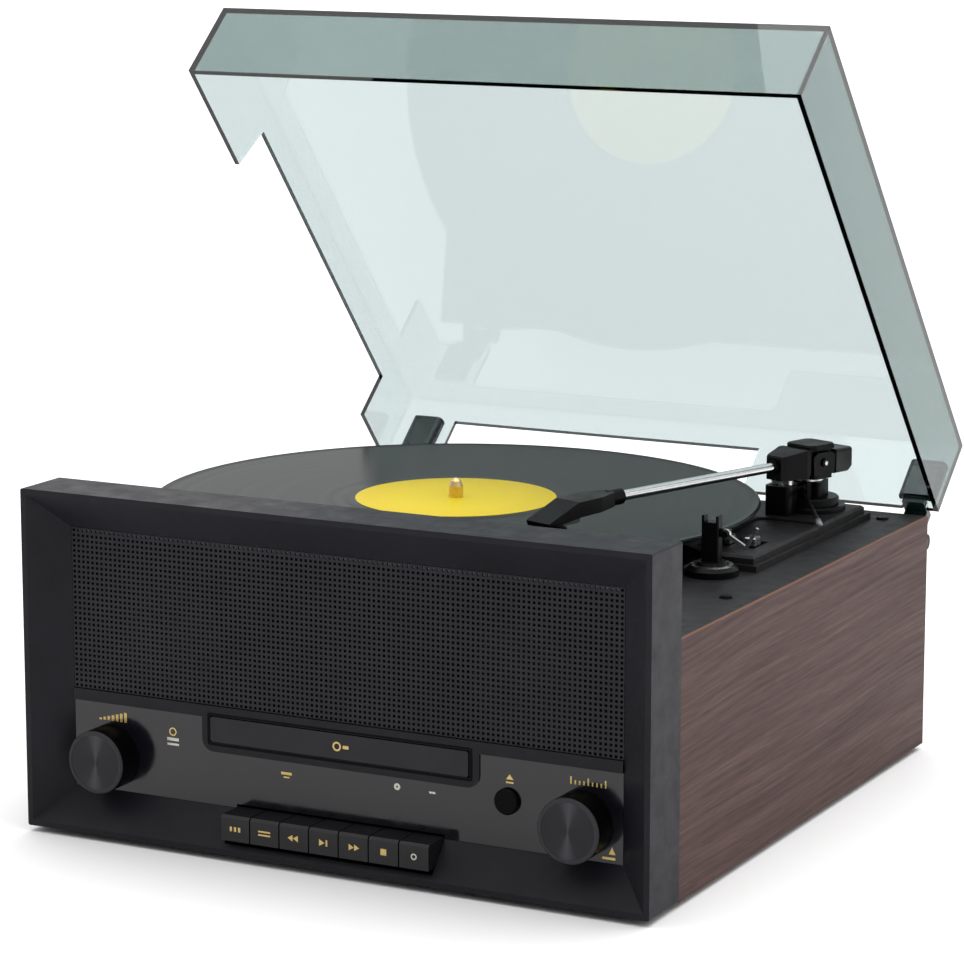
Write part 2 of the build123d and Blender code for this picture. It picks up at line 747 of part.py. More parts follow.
def arm_base_plate():
    """Moulded arm board: stepped edge, a sunk field with the two switch slots, and a front nose."""
    nose = 10.0
    foot = profile_xy([(plate_x0, plate_y0 + nose), (plate_x0 + 14, plate_y0), (plate_x1, plate_y0),
                       (plate_x1, plate_y1), (plate_x0, plate_y1)], deck_z, deck_z + 3.0)
    step = 2.5
    top = profile_xy([(plate_x0 + step, plate_y0 + nose + step), (plate_x0 + 14 + step, plate_y0 + step),
                      (plate_x1 - step, plate_y0 + step), (plate_x1 - step, plate_y1 - step),
                      (plate_x0 + step, plate_y1 - step)], deck_z + 3.0, plate_top_z)
    top = chamfer(top.faces().sort_by(Axis.Z)[-1].edges(), 1.2)
    board = foot + top
    field = block(plate_x0 + 9, plate_x1 - 7, plate_y0 + 14, plate_y0 + 92, plate_top_z - 1.2, plate_top_z)
    board -= fillet(field.edges().filter_by(Axis.Z), 3.0)
    for x, y in switch_places():
        board -= block(x - 3.0, x + 3.0, y - 9.0, y + 9.0, deck_z + 1.0, plate_top_z)
    return board - upright(rest_x, rest_y, deck_z, plate_top_z, 13.2)


def switch_places():
    return [(plate_x0 + 19.0, plate_y0 + 34.0), (plate_x0 + 32.0, plate_y0 + 34.0)]


def slide_switch(place):
    """Slide knob in its slot: a stem in the slot and a ridged thumb piece."""
    x, y = switch_places()[place]
    stem = block(x - 1.4, x + 1.4, y - 5.5, y - 1.5, deck_z + 1.3, plate_top_z)
    thumb = block(x - 2.6, x + 2.6, y - 7.0, y, plate_top_z - 0.6, plate_top_z + 3.4)
    thumb = fillet(thumb.edges().filter_by(Axis.X).sort_by(Axis.Z)[-2:], 1.0)
    for step in (-1.6, 0.0, 1.6):
        thumb -= Pos(x, y - 3.5 + step, plate_top_z + 3.4) * Box(5.2, 0.6, 0.8)
    return stem + thumb


def arm_bearing():
    """Fixed tower of the arm: stepped round flange, bored post, the lift's column and the lever's ears."""
    z = plate_top_z
    tower = turned([(0, z), (18, z), (18, z + 2), (17.4, z + 2.6), (14.7, z + 2.6), (14.7, z + 6.0),
                    (14.1, z + 6.6), (0, z + 6.6)], pivot_x, pivot_y)
    post = block(pivot_x - 8, pivot_x + 8, pivot_y - 6.5, pivot_y + 6.5, z, tower_top_z)
    tower += fillet(post.edges().filter_by(Axis.Z), 2.0)
    bore = upright(pivot_x, pivot_y, z + 1.5, tower_top_z, 4.0 + running_gap)
    column = block(lift_x - 7.5, lift_x + 6.5, lift_y - 6, lift_y + 5.0, z, bar_top_z - 2.4)
    column = fillet(column.edges().filter_by(Axis.Z), 3.0)
    column -= upright(lift_x, lift_y, z, bar_top_z, stem_radius + running_gap)
    slot_x = bar_length / 2 + 0.3
    slot_y = bar_width / 2 + 0.3
    slot_low_z = bar_top_z - bar_thickness - bar_travel - 0.2
    column -= block(lift_x - slot_x, lift_x + slot_x, lift_y - slot_y, lift_y + slot_y, slot_low_z, bar_top_z)
    ears = Compound(children=[lever_ear(-1), lever_ear(1)])
    return tower + column + ears - bore - lever_room()


def at_lever(shape):
    """Places a piece that is modelled with the lever along -Y from its hub."""
    return Pos(lever_x, lever_y, lever_z) * Rot(0, 0, lever_turn) * shape


def lever_ear(sign):
    """One of the two ears on the tower that hold the lever's pin, with half of the pin."""
    inner = sign * 2.5
    outer = sign * 4.5
    ear = block(min(inner, outer), max(inner, outer), -3.0, 3.0, plate_top_z - lever_z, 2.6)
    pin = along_x(min(0, outer), max(0, outer), 0, 0, 1.0)
    return at_lever(ear + pin)


def lever_room():
    """Space between the ears, down to the plate, for the lever's hub."""
    room = block(-2.5, 2.5, -3.4, 3.4, plate_top_z - lever_z + 0.5, 2.7)
    pin = along_x(-2.5, 2.5, 0, 0, 1.0)
    return at_lever(room - pin)


def arm_yoke():
    """Swivel: a journal in the tower, a table and two cheeks that hold the tilt screws."""
    journal = upright(0, 0, plate_top_z + 1.8, yoke_low_z, 4.0)
    table = Pos(0, 0, yoke_low_z) * extrude(RectangleRounded(2 * yoke_half, 15, 3), amount=yoke_table)
    shape = journal + table
    foot_z = yoke_low_z + yoke_table
    for sign in (-1, 1):
        outer = sign * yoke_half
        inner = sign * (yoke_half - cheek)
        side = profile_yz([(-7.5, foot_z), (7.5, foot_z), (8, arm_z), (8, arm_z + 3.5), (5, arm_z + 5.2),
                           (-5, arm_z + 5.2), (-8, arm_z + 3.5), (-8, arm_z)], min(outer, inner),
                          max(outer, inner))
        shape += side
        screw = along_x(min(outer, outer + sign * 1.0), max(outer, outer + sign * 1.0), 0, arm_z, 2.2)
        point = along_x(min(inner - sign * 2.0, inner), max(inner - sign * 2.0, inner), 0, arm_z, 1.2)
        shape += screw + point
    return on_arm(shape)


def arm_block():
    """Tilting block: a core between the cheeks, a cap over them, a tapering nose and a rear stub."""
    half = yoke_half - cheek - 0.35
    core = block(-half, half, -8, 8, arm_z - 4.6, arm_z + 8.6)
    core = chamfer(core.edges().filter_by(Axis.X).sort_by(Axis.Z)[:2], 2.0)
    corner = 3.0
    cap_x = yoke_half + 0.4
    cap_y = 9.6
    cap = profile_xy([(-cap_x + corner, -cap_y), (cap_x - corner, -cap_y), (cap_x, -cap_y + corner),
                      (cap_x, cap_y - corner), (cap_x - corner, cap_y), (-cap_x + corner, cap_y),
                      (-cap_x, cap_y - corner), (-cap_x, -cap_y + corner)], arm_z + 6.8, arm_z + 9.2)
    cap = chamfer(cap.faces().sort_by(Axis.Z)[-1].edges(), 0.8)
    nose_side = profile_yz([(-socket_start, arm_z - lug_low), (-socket_start, arm_z + 4.6),
                            (-socket_start + 1, arm_z + 5.4), (-13, arm_z + 7.6), (-6, arm_z + 7.6),
                            (-6, arm_z - 4.4), (-10.5, arm_z - 4.6), (-11.5, arm_z - lug_low)], -cap_x, cap_x)
    nose_plan = profile_xy([(-half, -6), (half, -6), (half, -10.2), (yoke_half, -10.2), (yoke_half, -13),
                            (6.2, -socket_start + 3), (4.8, -socket_start), (-4.8, -socket_start),
                            (-6.2, -socket_start + 3), (-yoke_half, -13), (-yoke_half, -10.2),
                            (-half, -10.2)],
                           arm_z - lug_low, arm_z + 7.6)
    body = core + cap + (nose_side & nose_plan)
    body += along_y(0, arm_z, -tube_start, -socket_start, socket_ring)
    body += along_y(0, arm_z, 8, 22.5, 2.6)
    body -= along_y(0, arm_z, -tube_start, -9, tube_radius)
    body -= along_x(-half, -half + 2.0, 0, arm_z, 1.2 + running_gap)
    body -= along_x(half - 2.0, half, 0, arm_z, 1.2 + running_gap)
    return on_arm(body)


def counterweight():
    """Short block on the arm's rear stub."""
    weight = block(-8.5, 8.5, 10.2, 22.0, arm_z - 7.0, arm_z + 5.4)
    weight = chamfer(weight.faces().sort_by(Axis.Y)[-1].edges().sort_by(Axis.Z)[0], 3.0)
    weight = fillet(weight.edges().filter_by(Axis.Y), 1.6)
    weight -= along_y(0, arm_z, 10.2, 22.0, 2.6)
    return on_arm(weight)


def arm_tube():
    """Thin straight tube."""
    tube = along_y(0, arm_z, -tube_end, -9, tube_radius)
    tube -= along_y(0, arm_z, -tube_end, -9, tube_radius - 0.6)
    return on_arm(tube)


def headshell():
    """Moulded headshell: a collar on the tube, a neck, a shell that bends down, and a finger lift."""
    collar = along_y(0, arm_z, -tube_end - 3, -head_start, 4.0)
    collar -= along_y(0, arm_z, -tube_end, -head_start, tube_radius)
    shell_start = tube_end + 2.0
    slope = [(-shell_start, arm_z + 3.6), (-shell_start, arm_z - 3.2),
             (-stylus_reach + 12, arm_z - 4.6), (-head_tip, arm_z - head_drop - 1.6),
             (-head_tip - 1, arm_z - head_drop + 0.9), (-stylus_reach + 11, arm_z + 2.8)]
    shell = profile_yz(slope, -8.0, 8.0)
    hollow = [(-shell_start - 6, arm_z - 8), (-shell_start - 6, shell_roof_z),
              (-stylus_reach + 10, shell_roof_z), (-head_tip + 1.2, arm_z - head_drop - 0.6),
              (-head_tip + 1.2, arm_z - 14)]
    shell -= profile_yz(hollow, -6.0, 6.0)
    taper = [(-4.2, -shell_start + 1), (4.2, -shell_start + 1), (8.0, -shell_start - 12),
             (7.6, -head_tip - 2), (-7.6, -head_tip - 2), (-8.0, -shell_start - 12)]
    shell = shell & profile_xy(taper, arm_z - 20, arm_z + 20)
    lift = [(7.0, -stylus_reach - 1), (13.5, -stylus_reach - 3), (14.5, -stylus_reach - 5.5),
            (7.0, -stylus_reach - 6)]
    finger = profile_xy(lift, arm_z - head_drop - 1.6, arm_z - head_drop - 0.2)
    return on_arm(collar + shell + finger)


def cartridge():
    """Ceramic pick-up under the shell, with the stylus on its cantilever."""
    body = profile_yz([(-stylus_reach + 14, shell_roof_z), (-stylus_reach + 14, cartridge_low_z + 0.8),
                       (-stylus_reach + 12, cartridge_low_z), (-stylus_reach - 2, cartridge_low_z),
                       (-stylus_reach - 4, cartridge_low_z + 0.9),
                       (-stylus_reach - 4, arm_z - head_drop - 0.1),
                       (-stylus_reach + 10, shell_roof_z)], -5.0, 5.0)
    cantilever = profile_yz([(-stylus_reach + 3.5, cartridge_low_z + 0.1),
                             (-stylus_reach + 3.5, cartridge_low_z - 0.4),
                             (-stylus_reach + 0.6, stylus_tip_z + 0.4), (-stylus_reach, stylus_tip_z),
                             (-stylus_reach - 0.6, stylus_tip_z + 0.6), (-stylus_reach, stylus_tip_z + 1.0),
                             (-stylus_reach + 1.5, cartridge_low_z + 0.1)], -0.6, 0.6)
    return on_arm(body + cantilever)


def arm_rest():
    """Arm rest: a stepped round foot, a square post and a fork with a rounded slot."""
    foot = turned([(0, deck_z), (13, deck_z), (13, deck_z + 3), (10.5, deck_z + 4.5), (8, deck_z + 4.5),
                   (7, deck_z + 6.5), (0, deck_z + 6.5)], rest_x, rest_y)
    post = block(rest_x - 4.4, rest_x + 4.4, rest_y - 2.6, rest_y + 2.6, deck_z + 6.5, rest_top_z)
    post = fillet(post.edges().filter_by(Axis.Z), 0.8)
    lean = math.degrees(math.atan2(rest_x - pivot_x, pivot_y - rest_y))
    slot = Rot(0, 0, lean) * Box(2 * tube_radius + 1.0, 20, 2 * (rest_top_z - rest_floor_z))
    post -= Pos(rest_x, rest_y, rest_top_z) * slot
    pin = along_y(clip_x, clip_z, rest_y - clip_half - 1.4, rest_y + 1.4, 1.0)
    lug = block(rest_x + 4.4, clip_x + 1.8, rest_y + clip_half + 0.1, rest_y + 2.6, clip_z - 2, clip_z + 2)
    head = along_y(clip_x, clip_z, rest_y - clip_half - 1.4, rest_y - clip_half - 0.2, 1.8)
    return foot + post + lug + pin + head


def arm_clip():
    """Clip beside the fork: turned up, its hook reaches over the parked tube."""
    outline = [(-1.0, 0), (-1.0, clip_reach), (-11.5, clip_reach), (-11.5, clip_reach + 1.4),
               (0.6, clip_reach + 1.4), (1.0, clip_reach + 1.0), (1.0, 0)]
    blade = Polyline(*[(x, -clip_half, z) for x, z in outline], close=True)
    clip = extrude(make_face(blade), amount=2 * clip_half, dir=(0, 1, 0))
    clip += along_y(0, 0, -clip_half, clip_half, 2.3)
    clip -= along_y(0, 0, -clip_half, clip_half, 1.0 + running_gap)
    return Pos(clip_x, rest_y, clip_z) * Rot(0, clip_rest_turn, 0) * clip


def lift_bar():
    """Rounded bar on a sliding stem, under the arm's nose."""
    stem = upright(lift_x, lift_y, plate_top_z + 3.6, bar_top_z - bar_thickness / 2, stem_radius)
    bar = extrude(RectangleRounded(bar_length, bar_width, 1.6), amount=bar_thickness)
    return stem + Pos(lift_x, lift_y, bar_top_z - bar_thickness) * bar


def cue_lever():
    """Lever on the tower: a bored hub, a rod that slopes down to the front, and a metal tip."""
    hub = along_x(-2.2, 2.2, 0, 0, 2.6)
    rod = Rot(90 + lever_drop, 0, 0) * Pos(0, 0, lever_length / 2) * Cylinder(lever_radius, lever_length)
    grip = Rot(90 + lever_drop, 0, 0) * Pos(0, 0, lever_length - 4) * Cone(lever_radius, 1.4, 8)
    lever = hub + rod + grip - along_x(-2.2, 2.2, 0, 0, 1.0 + running_gap)
    return at_lever(lever)


# Dust cover and its hinges

def dust_cover():
    """Moulded cover: five walls, a notch and a cut-out that clear the record, and two leaf pockets."""
    half = cover_width / 2
    front = cover_back_y - cover_depth
    top = cover_seat_z + cover_height
    shell = block(-half, half, front, cover_back_y, cover_seat_z, top)
    shell -= block(-half + cover_wall, half - cover_wall, front + cover_wall, cover_back_y - cover_wall,
                   cover_seat_z, top - cover_wall)
    notch = profile_yz([(cover_back_y - side_notch_back, cover_seat_z),
                        (cover_back_y - side_notch_back, cover_seat_z + side_notch_height),
                        (cover_back_y - side_notch_front, cover_seat_z + side_notch_height),
                        (cover_back_y - side_notch_front - side_notch_slant, cover_seat_z)],
                       -half, -half + cover_wall)
    shell -= notch
    shell -= block(back_cut_left_x, back_cut_right_x, cover_back_y - cover_wall, cover_back_y,
                   cover_seat_z, cover_seat_z + back_cut_height)
    for x in (hinge_left_x, hinge_right_x):
        shell += leaf_pocket(x)
        shell -= block(x - leaf_half - 0.4, x + leaf_half + 0.4, cover_back_y - cover_wall, cover_back_y,
                       cover_seat_z, cover_seat_z + 3.8)
    return opened(shell)


def leaf_pocket(x):
    """Moulded pocket inside the back wall, open below, that a hinge leaf slides into."""
    inner = cover_back_y - cover_wall
    pocket = block(x - pocket_half, x + pocket_half, inner - pocket_depth, inner,
                   cover_seat_z + 4.2, cover_seat_z + pocket_height)
    pocket = fillet(pocket.edges().filter_by(Axis.Z).sort_by(Axis.Y)[:2], 3.0)
    room = block(x - leaf_half - 0.1, x + leaf_half + 0.1, inner - 3.2, inner - 0.1,
                 cover_seat_z + 4.2, cover_seat_z + pocket_height - 3)
    return pocket - room


def hinge_leaf(x):
    """Leaf: a bored knuckle, an arm up behind the cabinet, a step over its edge and a tongue."""
    inner = cover_back_y - cover_wall
    tongue_y0 = inner - 2.9
    tongue_y1 = inner - 0.3
    arm_y0 = back_y + 1.6
    arm_y1 = hinge_y + 1.4
    step_z = cover_seat_z + 0.4
    points = [(arm_y0, hinge_z), (arm_y1, hinge_z), (arm_y1, step_z + 3.0), (tongue_y1, step_z + 3.0),
              (tongue_y1, cover_seat_z + pocket_height - 4), (tongue_y0, cover_seat_z + pocket_height - 4),
              (tongue_y0, step_z), (arm_y0, step_z)]
    leaf = profile_yz(points, x - leaf_half, x + leaf_half)
    leaf += along_x(x - leaf_half, x + leaf_half, hinge_y, hinge_z, 3.8)
    leaf -= along_x(x - leaf_half, x + leaf_half, hinge_y, hinge_z, 1.5 + running_gap)
    return opened(leaf)


def hinge_bracket(x):
    """Bracket screwed to the back panel, with two ears for the pin."""
    ear_inner = leaf_half + 0.4
    ear_outer = ear_inner + 3.4
    plate = block(x - ear_outer, x + ear_outer, back_y, back_y + 1.4, 73, hinge_z + 4)
    plate -= block(x - ear_inner, x + ear_inner, back_y, back_y + 1.4, hinge_z - 5, hinge_z + 4)
    shape = plate
    for sign in (-1, 1):
        inner = x + sign * ear_inner
        outer = x + sign * ear_outer
        x0 = min(inner, outer)
        x1 = max(inner, outer)
        shape += block(x0, x1, back_y, hinge_y, hinge_z - 4, hinge_z + 4)
        shape += along_x(x0, x1, hinge_y, hinge_z, 4.0)
    for z in (78, 89):
        shape += along_y(x, z, back_y + 1.4, back_y + 2.4, 2.6)
    return shape - along_x(x - ear_outer, x + ear_outer, hinge_y, hinge_z, 1.5)


def hinge_pins():
    """One steel pin for each hinge."""
    reach = leaf_half + 0.4 + 3.4
    return [along_x(x - reach, x + reach, hinge_y, hinge_z, 1.5) for x in (hinge_left_x, hinge_right_x)]


def build():
    """Writes every piece to its own file."""
    os.makedirs("parts", exist_ok=True)
    save(side_panel(-1), "side_panel_left")
    save(side_panel(1), "side_panel_right")
    save(bottom_panel(), "bottom_panel")
    save(Compound(children=feet()), "feet")
    save(screw_holes(back_panel()), "back_panel")
    save(output_jacks(), "output_jacks")
    save(power_inlet(), "power_inlet")
    save(screw_holes(top_deck()), "top_deck")
    save(Compound(children=case_screws()), "case_screws")
    save(front_frame(), "front_frame")
    save(speaker_grille(), "speaker_grille")
    save(speaker_basket(-1), "speaker_left")
    save(speaker_basket(1), "speaker_right")
    save(Compound(children=[speaker_cone(-1), speaker_cone(1)]), "speaker_cones")
    save(control_panel(), "control_panel")
    save(Compound(children=[potentiometer(-1), potentiometer(1)]), "potentiometers")
    save(knob(-1), "volume_knob")
    save(knob(1), "tuning_knob")
    save(eject_button(), "eject_button")
    for key in range(key_count):
        save(piano_key(key), "key_%d" % (key + 1))
    save(key_housing(), "key_housing")
    save(cd_tray(), "cd_tray")
    save(cd_loader(), "cd_loader")
    save(main_board(), "main_board")
    save(power_supply(), "power_supply")
    save(platter(), "platter")
    save(platter_mat(), "platter_mat")
    save(record(), "record")
    save(record_label(), "record_label")
    save(spindle(), "spindle")
    save(bearing_bush(), "bearing_bush")
    save(platter_motor(), "platter_motor")
    save(motor_pulley(), "motor_pulley")
    save(drive_belt(), "drive_belt")
    save(arm_base_plate(), "arm_base_plate")
    save(slide_switch(0), "speed_switch")
    save(slide_switch(1), "auto_stop_switch")
    save(arm_bearing(), "arm_bearing")
    save(arm_yoke(), "arm_yoke")
    save(arm_block(), "arm_block")
    save(counterweight(), "counterweight")
    save(arm_tube(), "arm_tube")
    save(headshell(), "headshell")
    save(cartridge(), "cartridge")
    save(arm_rest(), "arm_rest")
    save(arm_clip(), "arm_clip")
    save(lift_bar(), "lift_bar")
    save(cue_lever(), "cue_lever")
    save(dust_cover(), "dust_cover")
    save(hinge_leaf(hinge_left_x), "hinge_leaf_left")
    save(hinge_leaf(hinge_right_x), "hinge_leaf_right")
    save(hinge_bracket(hinge_left_x), "hinge_bracket_left")
    save(hinge_bracket(hinge_right_x), "hinge_bracket_right")
    save(Compound(children=hinge_pins()), "hinge_pins")


build()
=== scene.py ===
import json
import math

import bmesh
import bpy
from mathutils import Matrix, Vector


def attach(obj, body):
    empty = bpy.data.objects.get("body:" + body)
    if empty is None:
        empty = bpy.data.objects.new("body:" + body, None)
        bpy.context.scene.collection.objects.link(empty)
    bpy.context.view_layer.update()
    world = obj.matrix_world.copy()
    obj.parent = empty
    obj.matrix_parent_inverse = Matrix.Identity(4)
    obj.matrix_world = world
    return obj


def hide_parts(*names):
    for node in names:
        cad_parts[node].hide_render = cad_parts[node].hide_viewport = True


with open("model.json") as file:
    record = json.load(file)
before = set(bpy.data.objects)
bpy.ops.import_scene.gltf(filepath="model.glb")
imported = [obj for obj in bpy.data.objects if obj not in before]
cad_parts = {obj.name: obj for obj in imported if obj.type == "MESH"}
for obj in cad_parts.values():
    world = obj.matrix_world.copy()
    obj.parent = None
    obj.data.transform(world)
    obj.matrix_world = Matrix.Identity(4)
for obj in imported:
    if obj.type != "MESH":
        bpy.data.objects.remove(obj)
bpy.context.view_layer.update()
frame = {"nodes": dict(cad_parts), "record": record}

nodes = frame["nodes"]
MM = 0.001


def mm(*values):
    """A point or a size in metres, from millimetres."""
    return Vector([value * MM for value in values])


# Places on the object, in millimetres and degrees, as in the CAD source
RECESS_Y = -153.9
PANEL_Y = RECESS_Y
RAISED_Y = RECESS_Y - 1.0
DRAWER_Y = -155.5
PANEL_TOP_Z = 66.1
OPENING_X = 142.7
OPENING_TOP_Z = 143.2
DECK_Z = 119.0
RECORD = (-33.5, 23.5)
PIVOT = (113.0, 127.5)
REST = (120.0, -10.5)
BOARD_TOP_Z = 126.0
TOWER_TOP_Z = BOARD_TOP_Z + 14.6
YOKE_LOW_Z = BOARD_TOP_Z + 16.2
ARM_Z = 150.3
ARM_ANGLE = 19.0
KNOB_X = 122.5
KNOB_Z = 35.3
KNOB_FACE_Y = -168.0
KEY_PITCH = 15.5
KEY_FACE_Y = -168.5
HINGE_LEFT_X = -142.5
HINGE_RIGHT_X = 149.5
HINGE_Y = 173.5
HINGE_Z = 104.2
COVER_OPEN = 49.3
COVER_SIDE_X = 162.5
COVER_FRONT_Y = -131.5
COVER_BACK_Y = 167.0
COVER_WALL = 2.5
COVER_SEAT_Z = DECK_Z + 0.3
FLOOR_Z = -3.0

# Thickness of printed ink
INK = 0.08


# Shader building

class Finish:
    """One material while its nodes are being wired."""

    def __init__(self, name):
        self.material = bpy.data.materials.new(name)
        self.material.use_nodes = True
        self.tree = self.material.node_tree
        self.tree.nodes.clear()
        self.output = self.tree.nodes.new("ShaderNodeOutputMaterial")
        self.shader = self.tree.nodes.new("ShaderNodeBsdfPrincipled")
        self.tree.links.new(self.shader.outputs["BSDF"], self.output.inputs["Surface"])
        self.place = self.tree.nodes.new("ShaderNodeTexCoord").outputs["Object"]

    def set(self, **sockets):
        """Sets plain values on the shader's own sockets."""
        for name, value in sockets.items():
            self.shader.inputs[name.replace("_", " ")].default_value = value
        return self

    def link(self, start, end):
        """Joins an output to an input."""
        self.tree.links.new(start, end)

    def node(self, kind, **settings):
        """One shader node, with its settings."""
        made = self.tree.nodes.new("ShaderNode" + kind)
        for name, value in settings.items():
            setattr(made, name, value)
        return made

    def moved(self, centre=(0, 0, 0), turn=(0, 0, 0), stretch=(1, 1, 1)):
        """Object coordinates about a centre, in metres, turned and stretched."""
        shift = self.node("Mapping")
        shift.inputs["Location"].default_value = [-value for value in centre]
        self.link(self.place, shift.inputs["Vector"])
        shaped = self.node("Mapping")
        shaped.inputs["Rotation"].default_value = turn
        shaped.inputs["Scale"].default_value = stretch
        self.link(shift.outputs["Vector"], shaped.inputs["Vector"])
        return shaped.outputs["Vector"]

    def noise(self, scale, detail=4.0, rough=0.5, vector=None):
        """Noise value, on Object coordinates unless a vector is given."""
        made = self.node("TexNoise")
        made.inputs["Scale"].default_value = scale
        made.inputs["Detail"].default_value = detail
        made.inputs["Roughness"].default_value = rough
        self.link(vector or self.place, made.inputs["Vector"])
        return made.outputs["Fac"]

    def ramp(self, value, stops):
        """Colour ramp from (place, colour) stops."""
        made = self.node("ValToRGB")
        slots = made.color_ramp.elements
        while len(slots) < len(stops):
            slots.new(0.5)
        for slot, (place, colour) in zip(slots, stops):
            slot.position = place
            slot.color = (*colour, 1.0)
        self.link(value, made.inputs["Fac"])
        return made.outputs["Color"]

    def span(self, value, low, high, start=0.0, end=1.0):
        """Maps a value from start-end to low-high, kept within them."""
        made = self.node("MapRange")
        made.inputs["From Min"].default_value = start
        made.inputs["From Max"].default_value = end
        made.inputs["To Min"].default_value = low
        made.inputs["To Max"].default_value = high
        self.link(value, made.inputs["Value"])
        return made.outputs["Result"]

    def axes(self, vector=None):
        """X, Y and Z of a vector, or of the Object coordinates."""
        made = self.node("SeparateXYZ")
        self.link(vector or self.place, made.inputs["Vector"])
        return made.outputs["X"], made.outputs["Y"], made.outputs["Z"]

    def math(self, operation, first, second=0.0):
        """One sum on sockets or numbers."""
        made = self.node("Math", operation=operation)
        for socket, value in zip(made.inputs, (first, second)):
            if isinstance(value, (int, float)):
                socket.default_value = value
            else:
                self.link(value, socket)
        return made.outputs["Value"]

    def mixed(self, factor, first, second, blend="MIX"):
        """Colour mix. Each colour is a socket or three numbers."""
        made = self.node("Mix", data_type="RGBA", blend_type=blend)
        if isinstance(factor, (int, float)):
            made.inputs[0].default_value = factor
        else:
            self.link(factor, made.inputs[0])
        for socket, value in ((made.inputs[6], first), (made.inputs[7], second)):
            if isinstance(value, tuple):
                socket.default_value = (*value, 1.0)
            else:
                self.link(value, socket)
        return made.outputs[2]

    def bump(self, height, distance, strength=1.0):
        """Normal roughened by a height, distance in metres."""
        made = self.node("Bump")
        made.inputs["Distance"].default_value = distance
        made.inputs["Strength"].default_value = strength
        self.link(height, made.inputs["Height"])
        return made.outputs["Normal"]

    def colour(self, socket):
        """Drives the surface's colour."""
        self.link(socket, self.shader.inputs["Base Color"])

    def roughness(self, socket):
        """Drives how dull the surface is."""
        self.link(socket, self.shader.inputs["Roughness"])

    def normal(self, socket):
        """Drives the surface's relief."""
        self.link(socket, self.shader.inputs["Normal"])


def tint(colour, factor):
    """A colour made darker or lighter."""
    return tuple(min(1.0, channel * factor) for channel in colour)


def moulded(name, colour, rough=0.42, grain=1500.0, depth=0.00002, specular=0.5):
    """Moulded plastic: fine grain, faint cloudiness, dust-dull patches."""
    finish = Finish(name).set(Specular_IOR_Level=specular)
    cloud = finish.noise(22.0, 5.0, 0.6)
    finish.colour(finish.ramp(cloud, [(0.3, tint(colour, 0.82)), (0.7, tint(colour, 1.2))]))
    wear = finish.noise(95.0, 6.0, 0.65)
    finish.roughness(finish.span(wear, rough - 0.07, rough + 0.09, 0.3, 0.7))
    fine = finish.noise(grain, 2.0, 0.5)
    finish.normal(finish.bump(fine, depth, 0.6))
    return finish.material


def metal(name, colour, rough=0.25, stretch=(1, 1, 1), scale=900.0):
    """Metal with fine tooling lines along the axis that is stretched least."""
    finish = Finish(name).set(Metallic=1.0)
    lines = finish.noise(scale, 4.0, 0.6, finish.moved(stretch=stretch))
    finish.colour(finish.ramp(lines, [(0.3, tint(colour, 0.86)), (0.7, tint(colour, 1.06))]))
    smudge = finish.noise(120.0, 4.0, 0.6)
    finish.roughness(finish.span(smudge, rough - 0.06, rough + 0.1, 0.3, 0.7))
    finish.normal(finish.bump(lines, 0.000006, 0.5))
    return finish.material


def walnut(name):
    """Dark walnut foil: long fine grain along Y, thin dark pores, a browner upper edge."""
    finish = Finish(name).set(Specular_IOR_Level=0.15)
    bend = finish.noise(5.0, 2.0, 0.5, finish.moved(stretch=(1.0, 0.5, 1.0)))
    x, y, z = finish.axes()
    across = finish.math("ADD", z, finish.math("MULTIPLY", bend, 0.030))
    across = finish.math("ADD", across, x)

    def drawn_out(share):
        """Coordinates in which a pattern runs long along Y."""
        made = finish.node("CombineXYZ")
        finish.link(finish.math("MULTIPLY", y, share), made.inputs["Y"])
        finish.link(across, made.inputs["Z"])
        return made.outputs["Vector"]

    grain = drawn_out(0.02)
    wide = finish.noise(70.0, 3.0, 0.6, grain)
    lines = finish.noise(420.0, 4.0, 0.7, grain)
    pores = finish.noise(1500.0, 2.0, 0.6, drawn_out(0.035))
    wood = finish.ramp(lines, [(0.30, (0.048, 0.0230, 0.0200)), (0.50, (0.070, 0.0350, 0.0310)),
                               (0.68, (0.098, 0.0515, 0.0455))])
    bands = finish.ramp(wide, [(0.35, (0.74, 0.70, 0.68)), (0.65, (1.15, 1.12, 1.10))])
    wood = finish.mixed(0.7, wood, bands, "MULTIPLY")
    specks = finish.ramp(pores, [(0.40, (0.55, 0.48, 0.46)), (0.52, (1.0, 1.0, 1.0))])
    wood = finish.mixed(0.5, wood, specks, "MULTIPLY")
    edge = finish.span(z, 0.0, 1.0, (DECK_Z - 0.6) * MM, (DECK_Z - 0.3) * MM)
    finish.colour(finish.mixed(edge, wood, (0.15, 0.072, 0.045)))
    finish.roughness(finish.span(lines, 0.56, 0.44, 0.3, 0.7))
    finish.normal(finish.bump(lines, 0.00006, 0.4))
    return finish.material


def rings(finish, centre, scale):
    """Concentric rings about an upright axis through centre."""
    wave = finish.node("TexWave", wave_type="RINGS", rings_direction="Z", wave_profile="SIN")
    wave.inputs["Scale"].default_value = scale
    finish.link(finish.moved(centre=centre), wave.inputs["Vector"])
    return wave.outputs["Fac"]


def radius_from(finish, centre):
    """Distance from an upright axis through centre, in metres."""
    flat = finish.node("VectorMath", operation="MULTIPLY")
    flat.inputs[1].default_value = (1, 1, 0)
    finish.link(finish.moved(centre=centre), flat.inputs[0])
    length = finish.node("VectorMath", operation="LENGTH")
    finish.link(flat.outputs["Vector"], length.inputs[0])
    return length.outputs["Value"]


